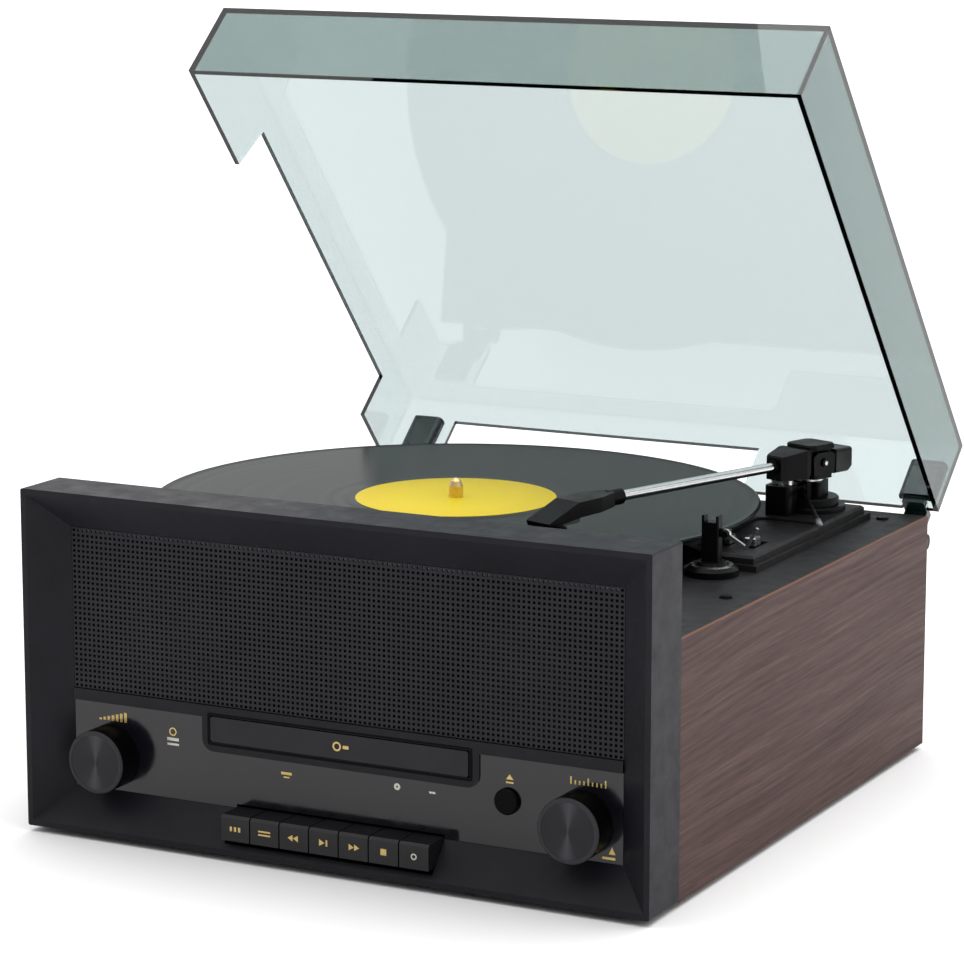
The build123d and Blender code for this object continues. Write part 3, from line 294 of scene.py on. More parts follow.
def vinyl(name):
    """Record: fine groove rings, bands that are louder or quieter, and a painted reflection: a green tint in
    the black for the green cover.
    """
    finish = Finish(name).set(Specular_IOR_Level=0.055)
    centre = mm(*RECORD, 0)
    bands = finish.node("TexNoise", noise_dimensions="1D")
    bands.inputs["Scale"].default_value = 4.0
    finish.link(finish.math("MULTIPLY", radius_from(finish, centre), 62.0), bands.inputs["W"])
    loudness = bands.outputs["Fac"]
    # Painted reflection: the black vinyl's colour is tinted green for the green cover that it reflects
    finish.colour(finish.ramp(loudness, [(0.3, (0.0022, 0.0072, 0.0062)), (0.7, (0.0050, 0.0130, 0.0112))]))
    finish.roughness(finish.span(loudness, 0.21, 0.26, 0.3, 0.7))
    finish.normal(finish.bump(rings(finish, centre, 640.0), 0.00002, 0.3))
    return finish.material


def printed_paper(name):
    """Plain yellow label paper: fibres, and a little darker towards the rim."""
    finish = Finish(name).set(Specular_IOR_Level=0.15)
    radius = radius_from(finish, mm(*RECORD, 0))
    fibre = finish.noise(900.0, 5.0, 0.7)
    paper = finish.ramp(fibre, [(0.3, (0.93, 0.68, 0.022)), (0.7, (1.0, 0.78, 0.035))])
    fade = finish.ramp(radius, [(0.030, (1.0, 1.0, 1.0)), (0.050, (0.93, 0.90, 0.85))])
    finish.colour(finish.mixed(1.0, paper, fade, "MULTIPLY"))
    finish.roughness(finish.span(fibre, 0.38, 0.5, 0.3, 0.7))
    finish.normal(finish.bump(fibre, 0.00002, 0.5))
    return finish.material


def clear_cover(name):
    """Green-smoke acrylic: clear sheet, painted shade that makes the front and right wall darker, painted
    shade that darkens the free lower edge, faint wipe marks.
    """
    finish = Finish(name).set(Transmission_Weight=1.0, IOR=1.49)
    closed = finish.moved(centre=mm(0, HINGE_Y, HINGE_Z), turn=(math.radians(COVER_OPEN), 0, 0))
    x, y, z = finish.axes(closed)
    inner_y = COVER_FRONT_Y + COVER_WALL - HINGE_Y
    # Painted shade: the front wall and the right wall are coloured a darker green, the front one at seven
    # tenths
    front = finish.span(y, 1.0, 0.0, (inner_y + 0.1) * MM, (inner_y + 0.4) * MM)
    inner_x = COVER_SIDE_X - COVER_WALL
    right = finish.span(x, 0.0, 1.0, (inner_x - 0.4) * MM, (inner_x - 0.1) * MM)
    painted_wall_shade = finish.math("MAXIMUM", finish.math("MULTIPLY", front, 0.7), right)
    tone = finish.mixed(painted_wall_shade, (0.97, 1.0, 0.99), (0.50, 0.62, 0.58))
    # Painted shade: the free lower edge that sits on the deck is coloured near-black green
    seat_z = COVER_SEAT_Z - HINGE_Z
    edge = finish.span(z, 1.0, 0.0, (seat_z + 0.06) * MM, (seat_z + 0.16) * MM)
    finish.colour(finish.mixed(edge, tone, (0.05, 0.11, 0.09)))
    wipe = finish.noise(60.0, 4.0, 0.6, finish.moved(stretch=(1.0, 4.0, 4.0)))
    finish.roughness(finish.span(wipe, 0.0, 0.035, 0.45, 0.75))
    depth = finish.node("VolumeAbsorption")
    depth.inputs["Color"].default_value = (0.52, 0.585, 0.595, 1.0)
    depth.inputs["Density"].default_value = 460.0
    finish.link(depth.outputs["Volume"], finish.output.inputs["Volume"])
    return finish.material


def pressed_board(name):
    """Pressed fibre board: brown flecks, dull, with a short nap."""
    finish = Finish(name)
    fleck = finish.noise(260.0, 6.0, 0.75)
    finish.colour(finish.ramp(fleck, [(0.3, (0.20, 0.12, 0.065)), (0.5, (0.33, 0.215, 0.125)),
                                      (0.72, (0.46, 0.32, 0.20))]))
    finish.roughness(finish.span(fleck, 0.7, 0.88))
    finish.normal(finish.bump(fleck, 0.0001, 0.6))
    return finish.material


def gold_print(name, colour):
    """Metallic printing ink with a fine speckle."""
    finish = Finish(name).set(Metallic=0.6)
    speck = finish.noise(3000.0, 3.0, 0.6)
    finish.colour(finish.ramp(speck, [(0.3, tint(colour, 0.8)), (0.7, tint(colour, 1.15))]))
    finish.roughness(finish.span(speck, 0.32, 0.5, 0.3, 0.7))
    finish.normal(finish.bump(speck, 0.00001, 0.4))
    return finish.material


finishes = {
    "walnut": walnut("walnut_foil"),
    "frame_black": moulded("satin_black_moulding", (0.0098, 0.0098, 0.0132), 0.42, specular=0.15),
    "board_brown": pressed_board("pressed_board"),
    "deck_black": moulded("textured_black_deck", (0.0108, 0.0098, 0.0112), 0.5, 1100.0, 0.00004, 0.22),
    "mesh_black": moulded("painted_mesh", (0.0090, 0.0089, 0.0128), 0.38, 2600.0, specular=0.22),
    "panel_grey": moulded("glossy_dark_panel", (0.0045, 0.0043, 0.0068), 0.13, 1300.0, 0.000002, 0.50),
    "knob_black": moulded("gloss_black_knob", (0.0016, 0.0016, 0.002), 0.3, 2400.0, 0.00001, 0.05),
    "key_black": moulded("satin_black_key", (0.0085, 0.0085, 0.0102), 0.36, 1900.0, specular=0.3),
    "rubber_black": moulded("black_rubber", (0.012, 0.012, 0.012), 0.75, 700.0, 0.00005, 0.2),
    "steel": metal("plated_steel", (0.62, 0.62, 0.63), 0.24),
    "aluminium": metal("polished_tube", (0.70, 0.70, 0.71), 0.16, (1, 0.05, 1), 1400.0),
    "cast_aluminium": metal("pressed_platter_metal", (0.60, 0.60, 0.61), 0.34),
    "vinyl": vinyl("grooved_vinyl"),
    "label_yellow": printed_paper("yellow_label_paper"),
    "weight_black": moulded("black_painted_weight", (0.010, 0.010, 0.011), 0.34, 1500.0, specular=0.35),
    "brass": metal("turned_brass", (0.80, 0.58, 0.26), 0.24),
    "clear_green": clear_cover("green_smoke_acrylic"),
    "circuit_green": moulded("circuit_board_green", (0.035, 0.13, 0.05), 0.35, 800.0),
    "cone_paper": moulded("dark_cone_paper", (0.03, 0.03, 0.03), 0.8, 500.0, 0.0001),
}


def turned_knob(name):
    """Black knob: dull black side, and a greyer turned front edge."""
    finish = Finish(name).set(Specular_IOR_Level=0.05)
    depth = finish.axes()[1]
    front = finish.span(depth, 1.0, 0.0, (KNOB_FACE_Y + 0.1) * MM, (KNOB_FACE_Y + 0.4) * MM)
    speck = finish.noise(2400.0, 2.0, 0.5)
    side = finish.ramp(speck, [(0.3, (0.0013, 0.0013, 0.0017)), (0.7, (0.0021, 0.0021, 0.0026))])
    rim = finish.ramp(speck, [(0.3, (0.032, 0.032, 0.035)), (0.7, (0.044, 0.044, 0.048))])
    finish.colour(finish.mixed(front, side, rim))
    finish.roughness(finish.span(speck, 0.26, 0.36, 0.3, 0.7))
    finish.normal(finish.bump(speck, 0.00001, 0.5))
    return finish.material


knob_body = turned_knob("turned_black_knob")
arm_plastic = moulded("satin_black_arm", (0.0022, 0.0022, 0.0024), 0.34, 2200.0, 0.00001, 0.10)
drawer_black = moulded("satin_black_drawer", (0.0082, 0.0082, 0.0110), 0.36, specular=0.26)
pick_up_grey = moulded("grey_pick_up", (0.075, 0.085, 0.082), 0.4, 1800.0)
hinge_green = moulded("dark_green_hinge", (0.006, 0.017, 0.0135), 0.22, 1500.0, 0.00001, 0.35)
dull_steel = metal("dull_lever_steel", (0.34, 0.34, 0.35), 0.34)
pale_strip = moulded("pale_edge_strip", (0.13, 0.13, 0.135), 0.6, 1200.0)
gold_ink = gold_print("gold_ink", (0.62, 0.45, 0.16))
pale_ink = gold_print("pale_ink", (0.55, 0.53, 0.47))

# Every node has the finish of its material slot, but for a few with a finish of their own
slot_of = {part["node"]: part["material_slot"] for part in frame["record"]["subparts"]}
for name, node in nodes.items():
    node.data.materials.clear()
    node.data.materials.append(finishes[slot_of[name]])

OWN_FINISHES = (
    (arm_plastic, ("arm_bearing", "arm_yoke", "arm_block", "cue_lever", "arm_rest", "headshell")),
    (knob_body, ("volume_knob", "tuning_knob")),
    (hinge_green, ("hinge_leaf_left", "hinge_leaf_right")),
    (finishes["weight_black"], ("hinge_pins",)),
    (finishes["steel"], ("lift_bar",)),
    (drawer_black, ("cd_tray",)),
    (pick_up_grey, ("cartridge",)),
)
for finish, names in OWN_FINISHES:
    for name in names:
        nodes[name].data.materials[0] = finish


# Modelling

def nothing_selected():
    """Object mode, with nothing selected."""
    if bpy.context.object and bpy.context.object.mode != "OBJECT":
        bpy.ops.object.mode_set(mode="OBJECT")
    bpy.ops.object.select_all(action="DESELECT")


def only(piece):
    """Selects one piece and makes it active."""
    nothing_selected()
    bpy.context.view_layer.objects.active = piece
    piece.select_set(True)


def settle(piece):
    """Puts the piece's place, turn and size into its mesh."""
    only(piece)
    bpy.ops.object.transform_apply(location=True, rotation=True, scale=True)
    return piece


def started(name):
    """Names the piece that an operator has just made."""
    piece = bpy.context.object
    piece.name = name
    piece.data.name = name
    return piece


def block(name, low, high):
    """Cuboid between two corners, in millimetres."""
    nothing_selected()
    bpy.ops.mesh.primitive_cube_add(size=1.0, location=(mm(*low) + mm(*high)) / 2)
    piece = started(name)
    piece.scale = mm(*high) - mm(*low)
    return settle(piece)


def disc(name, start, end, radius, sides=48):
    """Round bar between two points, in millimetres."""
    nothing_selected()
    line = mm(*end) - mm(*start)
    bpy.ops.mesh.primitive_cylinder_add(vertices=sides, radius=radius * MM, depth=line.length,
                                        location=(mm(*start) + mm(*end)) / 2,
                                        rotation=line.to_track_quat("Z", "Y").to_euler())
    return settle(started(name))


def pick_faces(piece, test):
    """Edit mode, with just the faces selected that pass the test."""
    only(piece)
    bpy.ops.object.mode_set(mode="EDIT")
    bpy.ops.mesh.select_mode(type="FACE")
    bpy.ops.mesh.select_all(action="DESELECT")
    shape = bmesh.from_edit_mesh(piece.data)
    for face in shape.faces:
        face.select_set(test(face))
    bmesh.update_edit_mesh(piece.data)


def edited(piece):
    """Leaves edit mode."""
    bpy.ops.object.mode_set(mode="OBJECT")
    return piece


def modified(piece, kind, **settings):
    """Adds one modifier and applies it."""
    only(piece)
    modifier = piece.modifiers.new(kind.lower(), kind)
    for name, value in settings.items():
        setattr(modifier, name, value)
    bpy.ops.object.modifier_apply(modifier=modifier.name)
    return piece


def rounded(piece, width, segments=2, angle=30.0):
    """Bevels the edges that are sharper than an angle."""
    return modified(piece, "BEVEL", width=width * MM, segments=segments, limit_method="ANGLE",
                    angle_limit=math.radians(angle))


def joined(name, pieces):
    """Makes several pieces one."""
    nothing_selected()
    for piece in pieces:
        piece.select_set(True)
    bpy.context.view_layer.objects.active = pieces[0]
    bpy.ops.object.join()
    return started(name)


def fitted(piece, body, finish, smooth=30.0):
    """Gives a finished piece its material, its smooth shading and the body that it rides on."""
    only(piece)
    piece.data.materials.clear()
    piece.data.materials.append(finish)
    bpy.ops.object.shade_smooth_by_angle(angle=math.radians(smooth))
    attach(piece, body)
    return piece


# Loudspeaker mesh: square holes in a thin black sheet

MESH_COLUMNS = 114
MESH_ROWS = 31
MESH_BAR = 1.2
MESH_THICKNESS = 0.8
MESH_GAP = 0.2


def front_mesh():
    """The grille: a grid whose cells are inset and cut out, given its thickness."""
    low_z = PANEL_TOP_Z + MESH_GAP
    high_z = OPENING_TOP_Z - MESH_GAP
    wide = 2 * (OPENING_X - MESH_GAP)
    tall = high_z - low_z
    nothing_selected()
    bpy.ops.mesh.primitive_grid_add(x_subdivisions=MESH_COLUMNS, y_subdivisions=MESH_ROWS, size=1.0,
                                    rotation=(math.radians(90.0), 0, 0),
                                    location=mm(0, RECESS_Y, (low_z + high_z) / 2))
    sheet = started("front_mesh")
    sheet.scale = (wide * MM, tall * MM, 1.0)
    settle(sheet)
    pick_faces(sheet, lambda face: True)
    bpy.ops.mesh.inset(thickness=MESH_BAR * MM / 2, depth=0.0, use_boundary=True, use_individual=True)
    bpy.ops.mesh.delete(type="FACE")
    edited(sheet)
    modified(sheet, "SOLIDIFY", thickness=MESH_THICKNESS * MM, offset=-1.0)
    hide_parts("speaker_grille")
    return fitted(sheet, "cabinet", finishes["mesh_black"])


front_mesh()


# Drawer surround: a dull skin on the panel's raised part, and painted shade: a black band for the gap around
# the drawer

STRIP_X = 142.4
STRIP_LOW_Z = 60.6
STRIP_HIGH_Z = 66.05
FIELD_X = 71.9
FIELD_LOW_Z = 44.5
FIELD_CORNER = 5.9
LINE_X = 69.0
LINE_LOW_Z = 47.5
LINE_HIGH_Z = 62.9
LINE_CORNER = 1.3
WINDOW_LOW = (-67.6, RAISED_Y - 1.0, 48.8)
WINDOW_HIGH = (67.6, RAISED_Y + 1.0, 61.8)


def windowed(piece):
    """Cuts the drawer's window through a plate."""
    cutter = block("cutter", WINDOW_LOW, WINDOW_HIGH)
    modified(piece, "BOOLEAN", object=cutter, operation="DIFFERENCE", solver="EXACT")
    bpy.data.objects.remove(cutter)
    return piece


def front_corners_rounded(piece, radius, high_z):
    """Rounds those corners of a plate facing the front that are no higher than high_z."""
    only(piece)
    bpy.ops.object.mode_set(mode="EDIT")
    bpy.ops.mesh.select_mode(type="EDGE")
    bpy.ops.mesh.select_all(action="DESELECT")
    shape = bmesh.from_edit_mesh(piece.data)
    for edge in shape.edges:
        ends = [vert.co for vert in edge.verts]
        along = abs(ends[0].y - ends[1].y) > 0.00001 and abs(ends[0].x - ends[1].x) < 0.00001
        edge.select_set(along and max(end.z for end in ends) < (high_z + 0.1) * MM)
    bmesh.update_edit_mesh(piece.data)
    bpy.ops.mesh.bevel(offset=radius * MM, segments=8)
    return edited(piece)


def drawer_surround():
    """Skin on the raised strip and on the field around the drawer, with its window."""
    front = RAISED_Y - 0.05
    back = RAISED_Y + 0.01
    strip = block("drawer_surround", (-STRIP_X, front, STRIP_LOW_Z), (STRIP_X, back, STRIP_HIGH_Z))
    field = block("drawer_field", (-FIELD_X, front, FIELD_LOW_Z), (FIELD_X, back, STRIP_LOW_Z))
    front_corners_rounded(field, FIELD_CORNER, FIELD_LOW_Z)
    skin = joined("drawer_surround", [windowed(strip), windowed(field)])
    return fitted(skin, "cabinet", finishes["frame_black"])


def drawer_gap_shade():
    """Painted shade: a thin black band where the gap between the drawer and its surround falls dark."""
    # Painted shade of the gap around the drawer, a flat black plate in place of a groove
    line = block("drawer_gap_shade", (-LINE_X, RAISED_Y - 0.1, LINE_LOW_Z), (LINE_X, RAISED_Y - 0.04, LINE_HIGH_Z))
    front_corners_rounded(line, LINE_CORNER, LINE_HIGH_Z)
    return fitted(windowed(line), "cabinet", finishes["knob_black"])


drawer_surround()
drawer_gap_shade()


# Printed marks: thin plates of ink, in millimetres on the panel, the drawer or a key

def ink_bar(x, z, face_y, wide, tall, corner=0.3):
    """Printed bar about a point of a face."""
    bar = block("ink", (x - wide / 2, face_y - INK, z - tall / 2), (x + wide / 2, face_y, z + tall / 2))
    return rounded(bar, min(corner, wide / 2.2, tall / 2.2), 2, 80.0) if corner else bar


# Width and height of a triangle in a circle of diameter 1
TRIANGLE_WIDE = 0.866
TRIANGLE_TALL = 0.75


def ink_wedge(x, z, face_y, wide, tall, turn=0.0):
    """Triangle that points up at turn 0, to the right at turn 90."""
    nothing_selected()
    bpy.ops.mesh.primitive_cylinder_add(vertices=3, radius=0.5, depth=1.0, rotation=(math.radians(90), 0, 0))
    wedge = settle(started("ink"))
    wedge.scale = (wide / TRIANGLE_WIDE * MM, INK * MM, tall / TRIANGLE_TALL * MM)
    settle(wedge)
    wedge.rotation_euler = (0, math.radians(turn), 0)
    wedge.location = mm(x, face_y - INK / 2, z)
    return settle(wedge)


def ink_ring(x, z, face_y, radius, line):
    """Printed ring of a line's width."""
    nothing_selected()
    bpy.ops.mesh.primitive_circle_add(vertices=32, radius=radius * MM, fill_type="NGON",
                                      rotation=(math.radians(90), 0, 0), location=mm(x, face_y, z))
    ring = settle(started("ink"))
    pick_faces(ring, lambda face: True)
    bpy.ops.mesh.inset(thickness=line * MM, depth=0.0)
    bpy.ops.mesh.delete(type="FACE")
    edited(ring)
    return modified(ring, "SOLIDIFY", thickness=INK * MM, offset=1.0)


def marks(name, pieces, body="cabinet", ink=gold_ink):
    """Joins printed shapes into one piece on a body."""
    return fitted(joined(name, pieces), body, ink)


TICK_WIDTH = 0.7
SHORT_TICK = 0.55


def tick_row(x, z, face_y, count, pitch, tall, long_every):
    """Row of scale ticks, each so-many-th one taller."""
    ticks = []
    for step in range(count):
        height = tall if step % long_every == 0 else tall * SHORT_TICK
        place = x + (step - (count - 1) / 2) * pitch
        ticks.append(ink_bar(place, z + height / 2, face_y, TICK_WIDTH, height, 0))
    return ticks


def volume_steps():
    """Bars that grow to the right, over the volume knob."""
    return [ink_bar(-121.5 + (step - 3) * 2.3, 52.6 + 0.32 * step, PANEL_Y, 1.5, 0.9 + 0.64 * step, 0.2)
            for step in range(7)]


marks("volume_marks", volume_steps())
marks("tuning_marks", tick_row(125.5, 52.6, PANEL_Y, 9, 2.1, 3.4, 4))
marks("eject_marks", [ink_wedge(87.0, 51.4, PANEL_Y, 3.6, 2.4), ink_bar(87.0, 49.2, PANEL_Y, 3.8, 0.8)])
marks("headphone_marks", [ink_ring(-88.5, 51.0, PANEL_Y, 2.0, 0.6)])
marks("input_bars", [ink_bar(-88.5, 47.4, PANEL_Y, 6.4, 1.5), ink_bar(-88.5, 45.0, PANEL_Y, 6.4, 1.1)],
      ink=pale_ink)
marks("centre_mark", [ink_bar(-27.5, 38.7, PANEL_Y, 5.6, 1.3), ink_bar(-27.5, 36.9, PANEL_Y, 3.2, 0.7)])
marks("sensor_marks", [ink_ring(30.2, 40.0, PANEL_Y, 1.6, 1.1)], ink=pale_ink)
marks("lamp_marks", [ink_bar(48.1, 39.5, PANEL_Y, 3.2, 1.0)], ink=pale_ink)
marks("corner_marks", [ink_wedge(137.2, 24.2, PANEL_Y, 3.2, 3.4), ink_bar(135.6, 21.2, PANEL_Y, 6.4, 1.2)])
marks("drawer_marks", [ink_ring(0.0, 55.3, DRAWER_Y, 2.2, 0.8), ink_bar(4.6, 55.3, DRAWER_Y, 3.0, 1.6)],
      "cd_tray")


KEY_MARK_Z = 13.4


def key_marks(key):
    """Plain symbol on one key, counted from 0 at the left."""
    x = (key - 3) * KEY_PITCH
    z = KEY_MARK_Z
    face = KEY_FACE_Y
    if key == 0:
        shapes = [ink_bar(x + step * 2.2, z, face, 1.2, 2.2) for step in (-1, 0, 1)]
    elif key == 1:
        shapes = [ink_bar(x, z + step * 0.8, face, 6.4, 0.8) for step in (-1, 1)]
    elif key in (2, 4):
        shapes = [ink_wedge(x + step * 1.4, z, face, 3.0, 2.6, 90 if key == 4 else -90) for step in (-1, 1)]
    elif key == 3:
        shapes = [ink_wedge(x - 1.2, z, face, 3.2, 2.8, 90), ink_bar(x + 1.7, z, face, 0.9, 3.0)]
    elif key == 5:
        shapes = [ink_bar(x, z, face, 3.0, 3.0, 0.2)]
    else:
        shapes = [ink_ring(x, z, face, 1.5, 0.6)]
    name = "key_%d" % (key + 1)
    return marks(name + "_marks", shapes, name, pale_ink if key == 6 else gold_ink)


for key in range(7):
    key_marks(key)


# Knob faces: turned discs with a low dish, and circular tool marks

def turned_black(name, centre):
    """Face of a knob: turned rings, and a painted highlight: the colour is lighter up and down through the
    middle.
    """
    finish = Finish(name).set(Metallic=0.55, Anisotropic=0.85, Specular_IOR_Level=0.4)
    around = finish.node("Tangent", direction_type="RADIAL", axis="Y")
    finish.link(around.outputs["Tangent"], finish.shader.inputs["Tangent"])
    place = finish.moved(centre=centre)
    wave = finish.node("TexWave", wave_type="RINGS", rings_direction="Y")
    wave.inputs["Scale"].default_value = 900.0
    wave.inputs["Distortion"].default_value = 0.6
    finish.link(place, wave.inputs["Vector"])
    lines = finish.ramp(wave.outputs["Fac"], [(0.2, (0.009, 0.009, 0.0105)), (0.8, (0.020, 0.020, 0.0225))])
    x, y, z = finish.axes(place)
    # Painted highlight: the colour is made up to 2.8 times lighter in a narrow upright wedge through the
    # centre
    leaning = finish.math("ADD", x, finish.math("MULTIPLY", z, -0.06))
    height = finish.math("ADD", finish.math("ABSOLUTE", z), 0.0004)
    slant = finish.math("DIVIDE", finish.math("ABSOLUTE", leaning), height)
    sheen = finish.ramp(slant, [(0.02, (2.8, 2.8, 2.9)), (0.42, (1.0, 1.0, 1.0))])
    finish.colour(finish.mixed(1.0, lines, sheen, "MULTIPLY"))
    finish.roughness(finish.span(wave.outputs["Fac"], 0.26, 0.38))
    finish.normal(finish.bump(wave.outputs["Fac"], 0.000008, 0.5))
    return finish.material


KNOB_FACE_RADIUS = 14.1
DISH_STEPS = 4


def knob_face(knob, x):
    """Thin turned disc on a knob's front, dished in steps."""
    name = knob + "_face"
    face = disc(name, (x, KNOB_FACE_Y + 0.02, KNOB_Z), (x, KNOB_FACE_Y - 0.3, KNOB_Z), KNOB_FACE_RADIUS, 96)
    pick_faces(face, lambda f: f.normal.y < -0.9)
    bpy.ops.mesh.inset(thickness=0.4 * MM, depth=0.06 * MM)
    for _ in range(DISH_STEPS):
        bpy.ops.mesh.inset(thickness=2.9 * MM, depth=-0.06 * MM)
    edited(face)
    return fitted(face, knob, turned_black(name + "_turned", mm(x, KNOB_FACE_Y, KNOB_Z)), 40.0)


knob_face("volume_knob", -KNOB_X)
knob_face("tuning_knob", KNOB_X)


# Bright small parts of the arm, its rest and its lever, and painted shade in the cover's pockets

def ring(name, x, y, z0, z1, inner, outer, sides=48):
    """Flat upright ring, in millimetres."""
    piece = disc(name, (x, y, z0), (x, y, z1), outer, sides)
    pick_faces(piece, lambda f: abs(f.normal.z) > 0.9)
    bpy.ops.mesh.inset(thickness=(outer - inner) * MM, depth=0.0)
    bpy.ops.mesh.bridge_edge_loops()
    edited(piece)
    return piece


def on_arm(piece):
    """Turns a piece that is modelled along -Y from the pivot to where the arm stands."""
    piece.location = mm(*PIVOT, 0)
    piece.rotation_euler = (0, 0, math.radians(-ARM_ANGLE))
    return settle(piece)


def tilt_screw(side):
    """Polished end of the screw that the arm tilts on, with a raised middle."""
    start = side * 10.45
    end = side * 10.9
    head = disc("tilt_screw_end", (start, 0, ARM_Z), (end, 0, ARM_Z), 1.15, 24)
    pick_faces(head, lambda f: f.normal.x * side > 0.9)
    bpy.ops.mesh.inset(thickness=0.25 * MM, depth=0.1 * MM)
    edited(head)
    return fitted(on_arm(head), "arm_swing", finishes["steel"])


def swivel_washer():
    """Bright washer on the tower, under the swivelling yoke."""
    washer = ring("swivel_washer", *PIVOT, TOWER_TOP_Z + 0.05, YOKE_LOW_Z - 0.3, 4.4, 7.2)
    return fitted(washer, "cabinet", finishes["steel"])


def rest_ring():
    """Bright ring on the foot of the arm's rest."""
    bright = ring("rest_ring", *REST, DECK_Z + 4.5, DECK_Z + 5.1, 8.2, 10.2)
    return fitted(bright, "cabinet", finishes["steel"])


for side in (-1, 1):
    tilt_screw(side)
swivel_washer()
rest_ring()


LEVER_HUB = Vector((112.4, 117.5, 137.8))
LEVER_TURN = math.radians(32.9)
LEVER_DROP = math.radians(9.7)
LEVER_SLEEVE = (45.5, 52.1)
lever_line = Vector((math.sin(LEVER_TURN) * math.cos(LEVER_DROP),
                     -math.cos(LEVER_TURN) * math.cos(LEVER_DROP), -math.sin(LEVER_DROP)))


def lever_tip():
    """Pale metal sleeve on the last stretch of the lever."""
    start, end = [LEVER_HUB + lever_line * reach for reach in LEVER_SLEEVE]
    sleeve = disc("lever_tip", start, end, 1.48, 24)
    rounded(sleeve, 0.4, 3)
    return fitted(sleeve, "cue_lever", dull_steel)


lever_tip()


def plate_screw(x, y):
    """Round head of a screw in the arm's board."""
    head = disc("plate_screw", (x, y, BOARD_TOP_Z - 0.2), (x, y, BOARD_TOP_Z + 0.9), 1.4, 24)
    rounded(head, 0.5, 3)
    return fitted(head, "cabinet", finishes["steel"])


plate_screw(99.2, 113.2)


def opened(piece):
    """Turns a piece that is modelled on the closed cover to where the open cover holds it."""
    axis = mm(0, HINGE_Y, HINGE_Z)
    turn = Matrix.Rotation(math.radians(-COVER_OPEN), 4, "X")
    piece.matrix_world = Matrix.Translation(axis) @ turn @ Matrix.Translation(-axis) @ piece.matrix_world
    return settle(piece)


POCKET_INNER = 6.5
POCKET_SHADE_THICKNESS = 1.4


def pocket_shade(name, x):
    """Painted shade: dark green sheets along both sides and the top of a hinge pocket, which make the pocket
    look darker and deeper.
    """
    inner_y = COVER_BACK_Y - COVER_WALL
    y0 = inner_y - 4.4
    y1 = inner_y - 0.3
    low = COVER_SEAT_Z + 4.6
    high = COVER_SEAT_Z + 26.4
    left = x - POCKET_INNER
    right = x + POCKET_INNER
    # Painted shade: three thin dark sheets inside the pocket, where the thick acrylic looks darker
    shade_sheets = [block(name, (left - POCKET_SHADE_THICKNESS, y0, low), (left, y1, high)),
              block(name, (right, y0, low), (right + POCKET_SHADE_THICKNESS, y1, high)),
              block(name, (left, y0, high - POCKET_SHADE_THICKNESS), (right, y1, high))]
    return fitted(opened(joined(name, shade_sheets)), "cover", hinge_green)


pocket_shade("pocket_shade_left", HINGE_LEFT_X)
pocket_shade("pocket_shade_right", HINGE_RIGHT_X)


def mesh_edge_strip():
    """Pale strip behind the first row of the mesh."""
    half = OPENING_X - 3.4
    strip = block("mesh_edge_strip", (-half, RECESS_Y + 0.95, OPENING_TOP_Z - 3.0),
                  (half, RECESS_Y + 1.3, OPENING_TOP_Z - 1.0))
    return fitted(rounded(strip, 0.1, 1), "cabinet", pale_strip)


mesh_edge_strip()


# Studio: pale floor, white surroundings that are dimmer in front, one broad soft light

FLOOR_SIZE = 60.0
LIGHT_FROM = (0.12, 0.16, 1.0)
LIGHT_SPREAD = 60.0
LIGHT_STRENGTH = 1.6
CAMERA_AT = (0.7702, -1.4962, 0.4713)
CAMERA_TILT = 79.159
CAMERA_TURN = 27.442
CAMERA_LENS = 130.78
CAMERA_SENSOR = 36.0


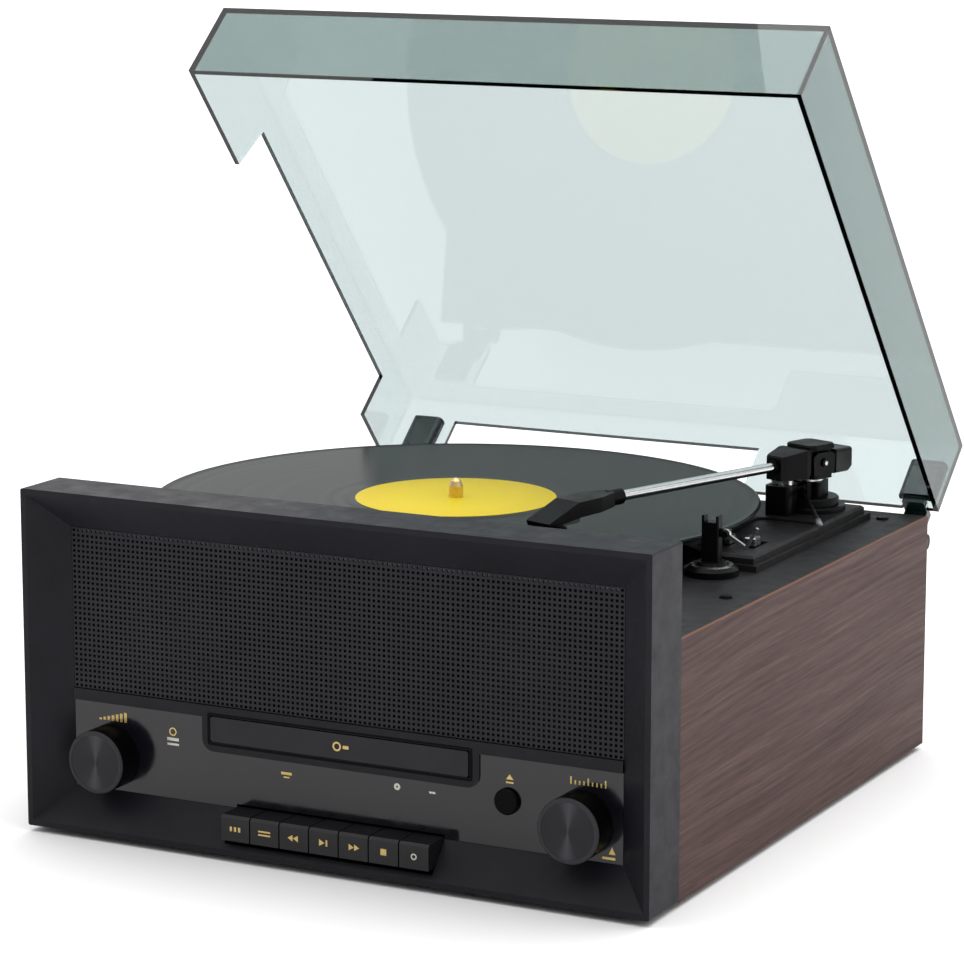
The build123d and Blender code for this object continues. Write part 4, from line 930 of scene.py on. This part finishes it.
def white_surroundings():
    """White all round: dimmer in front, brighter overhead, plain white to the camera."""
    world = bpy.data.worlds.new("white_studio")
    bpy.context.scene.world = world
    world.use_nodes = True
    sky = world.node_tree

    def node(kind, **inputs):
        """One node, with plain values by socket name."""
        made = sky.nodes.new("ShaderNode" + kind)
        for name, value in inputs.items():
            made.inputs[name.replace("_", " ")].default_value = value
        return made

    def combined(operation, first, second):
        """One sum on two sockets."""
        made = node("Math")
        made.operation = operation
        sky.links.new(first, made.inputs[0])
        sky.links.new(second, made.inputs[1])
        return made.outputs["Value"]

    split = node("SeparateXYZ")
    sky.links.new(node("TexCoord").outputs["Generated"], split.inputs["Vector"])
    fade = node("MapRange", From_Min=-0.9, From_Max=0.5, To_Min=0.3, To_Max=0.9)
    sky.links.new(split.outputs["Y"], fade.inputs["Value"])
    overhead = node("MapRange", From_Min=0.3, From_Max=1.0, To_Min=0.0, To_Max=1.0)
    sky.links.new(split.outputs["Z"], overhead.inputs["Value"])
    strength = combined("ADD", fade.outputs["Result"], overhead.outputs["Result"])
    strength = combined("MAXIMUM", strength, node("LightPath").outputs["Is Camera Ray"])
    backdrop = sky.nodes["Background"]
    backdrop.inputs["Color"].default_value = (1.0, 1.0, 1.0, 1.0)
    sky.links.new(strength, backdrop.inputs["Strength"])


def pale_floor():
    """Wide pale floor under the feet."""
    nothing_selected()
    bpy.ops.mesh.primitive_plane_add(size=FLOOR_SIZE, location=mm(0, 0, FLOOR_Z))
    floor = started("studio_floor")
    finish = Finish("white_floor").set(Base_Color=(0.85, 0.85, 0.85, 1.0), Roughness=0.9)
    floor.data.materials.append(finish.material)


def soft_light():
    """One broad light from above."""
    light = bpy.data.lights.new("soft_key", "SUN")
    light.energy = LIGHT_STRENGTH
    light.angle = math.radians(LIGHT_SPREAD)
    lamp = bpy.data.objects.new("soft_key", light)
    lamp.rotation_euler = Vector(LIGHT_FROM).to_track_quat("Z", "Y").to_euler()
    bpy.context.scene.collection.objects.link(lamp)


def photo_camera():
    """Camera fitted to the photograph's view."""
    lens = bpy.data.cameras.new("photo_view")
    lens.lens = CAMERA_LENS
    lens.sensor_width = CAMERA_SENSOR
    lens.clip_end = 100.0
    camera = bpy.data.objects.new("photo_view", lens)
    camera.location = CAMERA_AT
    camera.rotation_euler = (math.radians(CAMERA_TILT), 0.0, math.radians(CAMERA_TURN))
    bpy.context.scene.collection.objects.link(camera)
    bpy.context.scene.camera = camera


white_surroundings()
pale_floor()
soft_light()
photo_camera()
bpy.context.scene.view_settings.view_transform = "Standard"
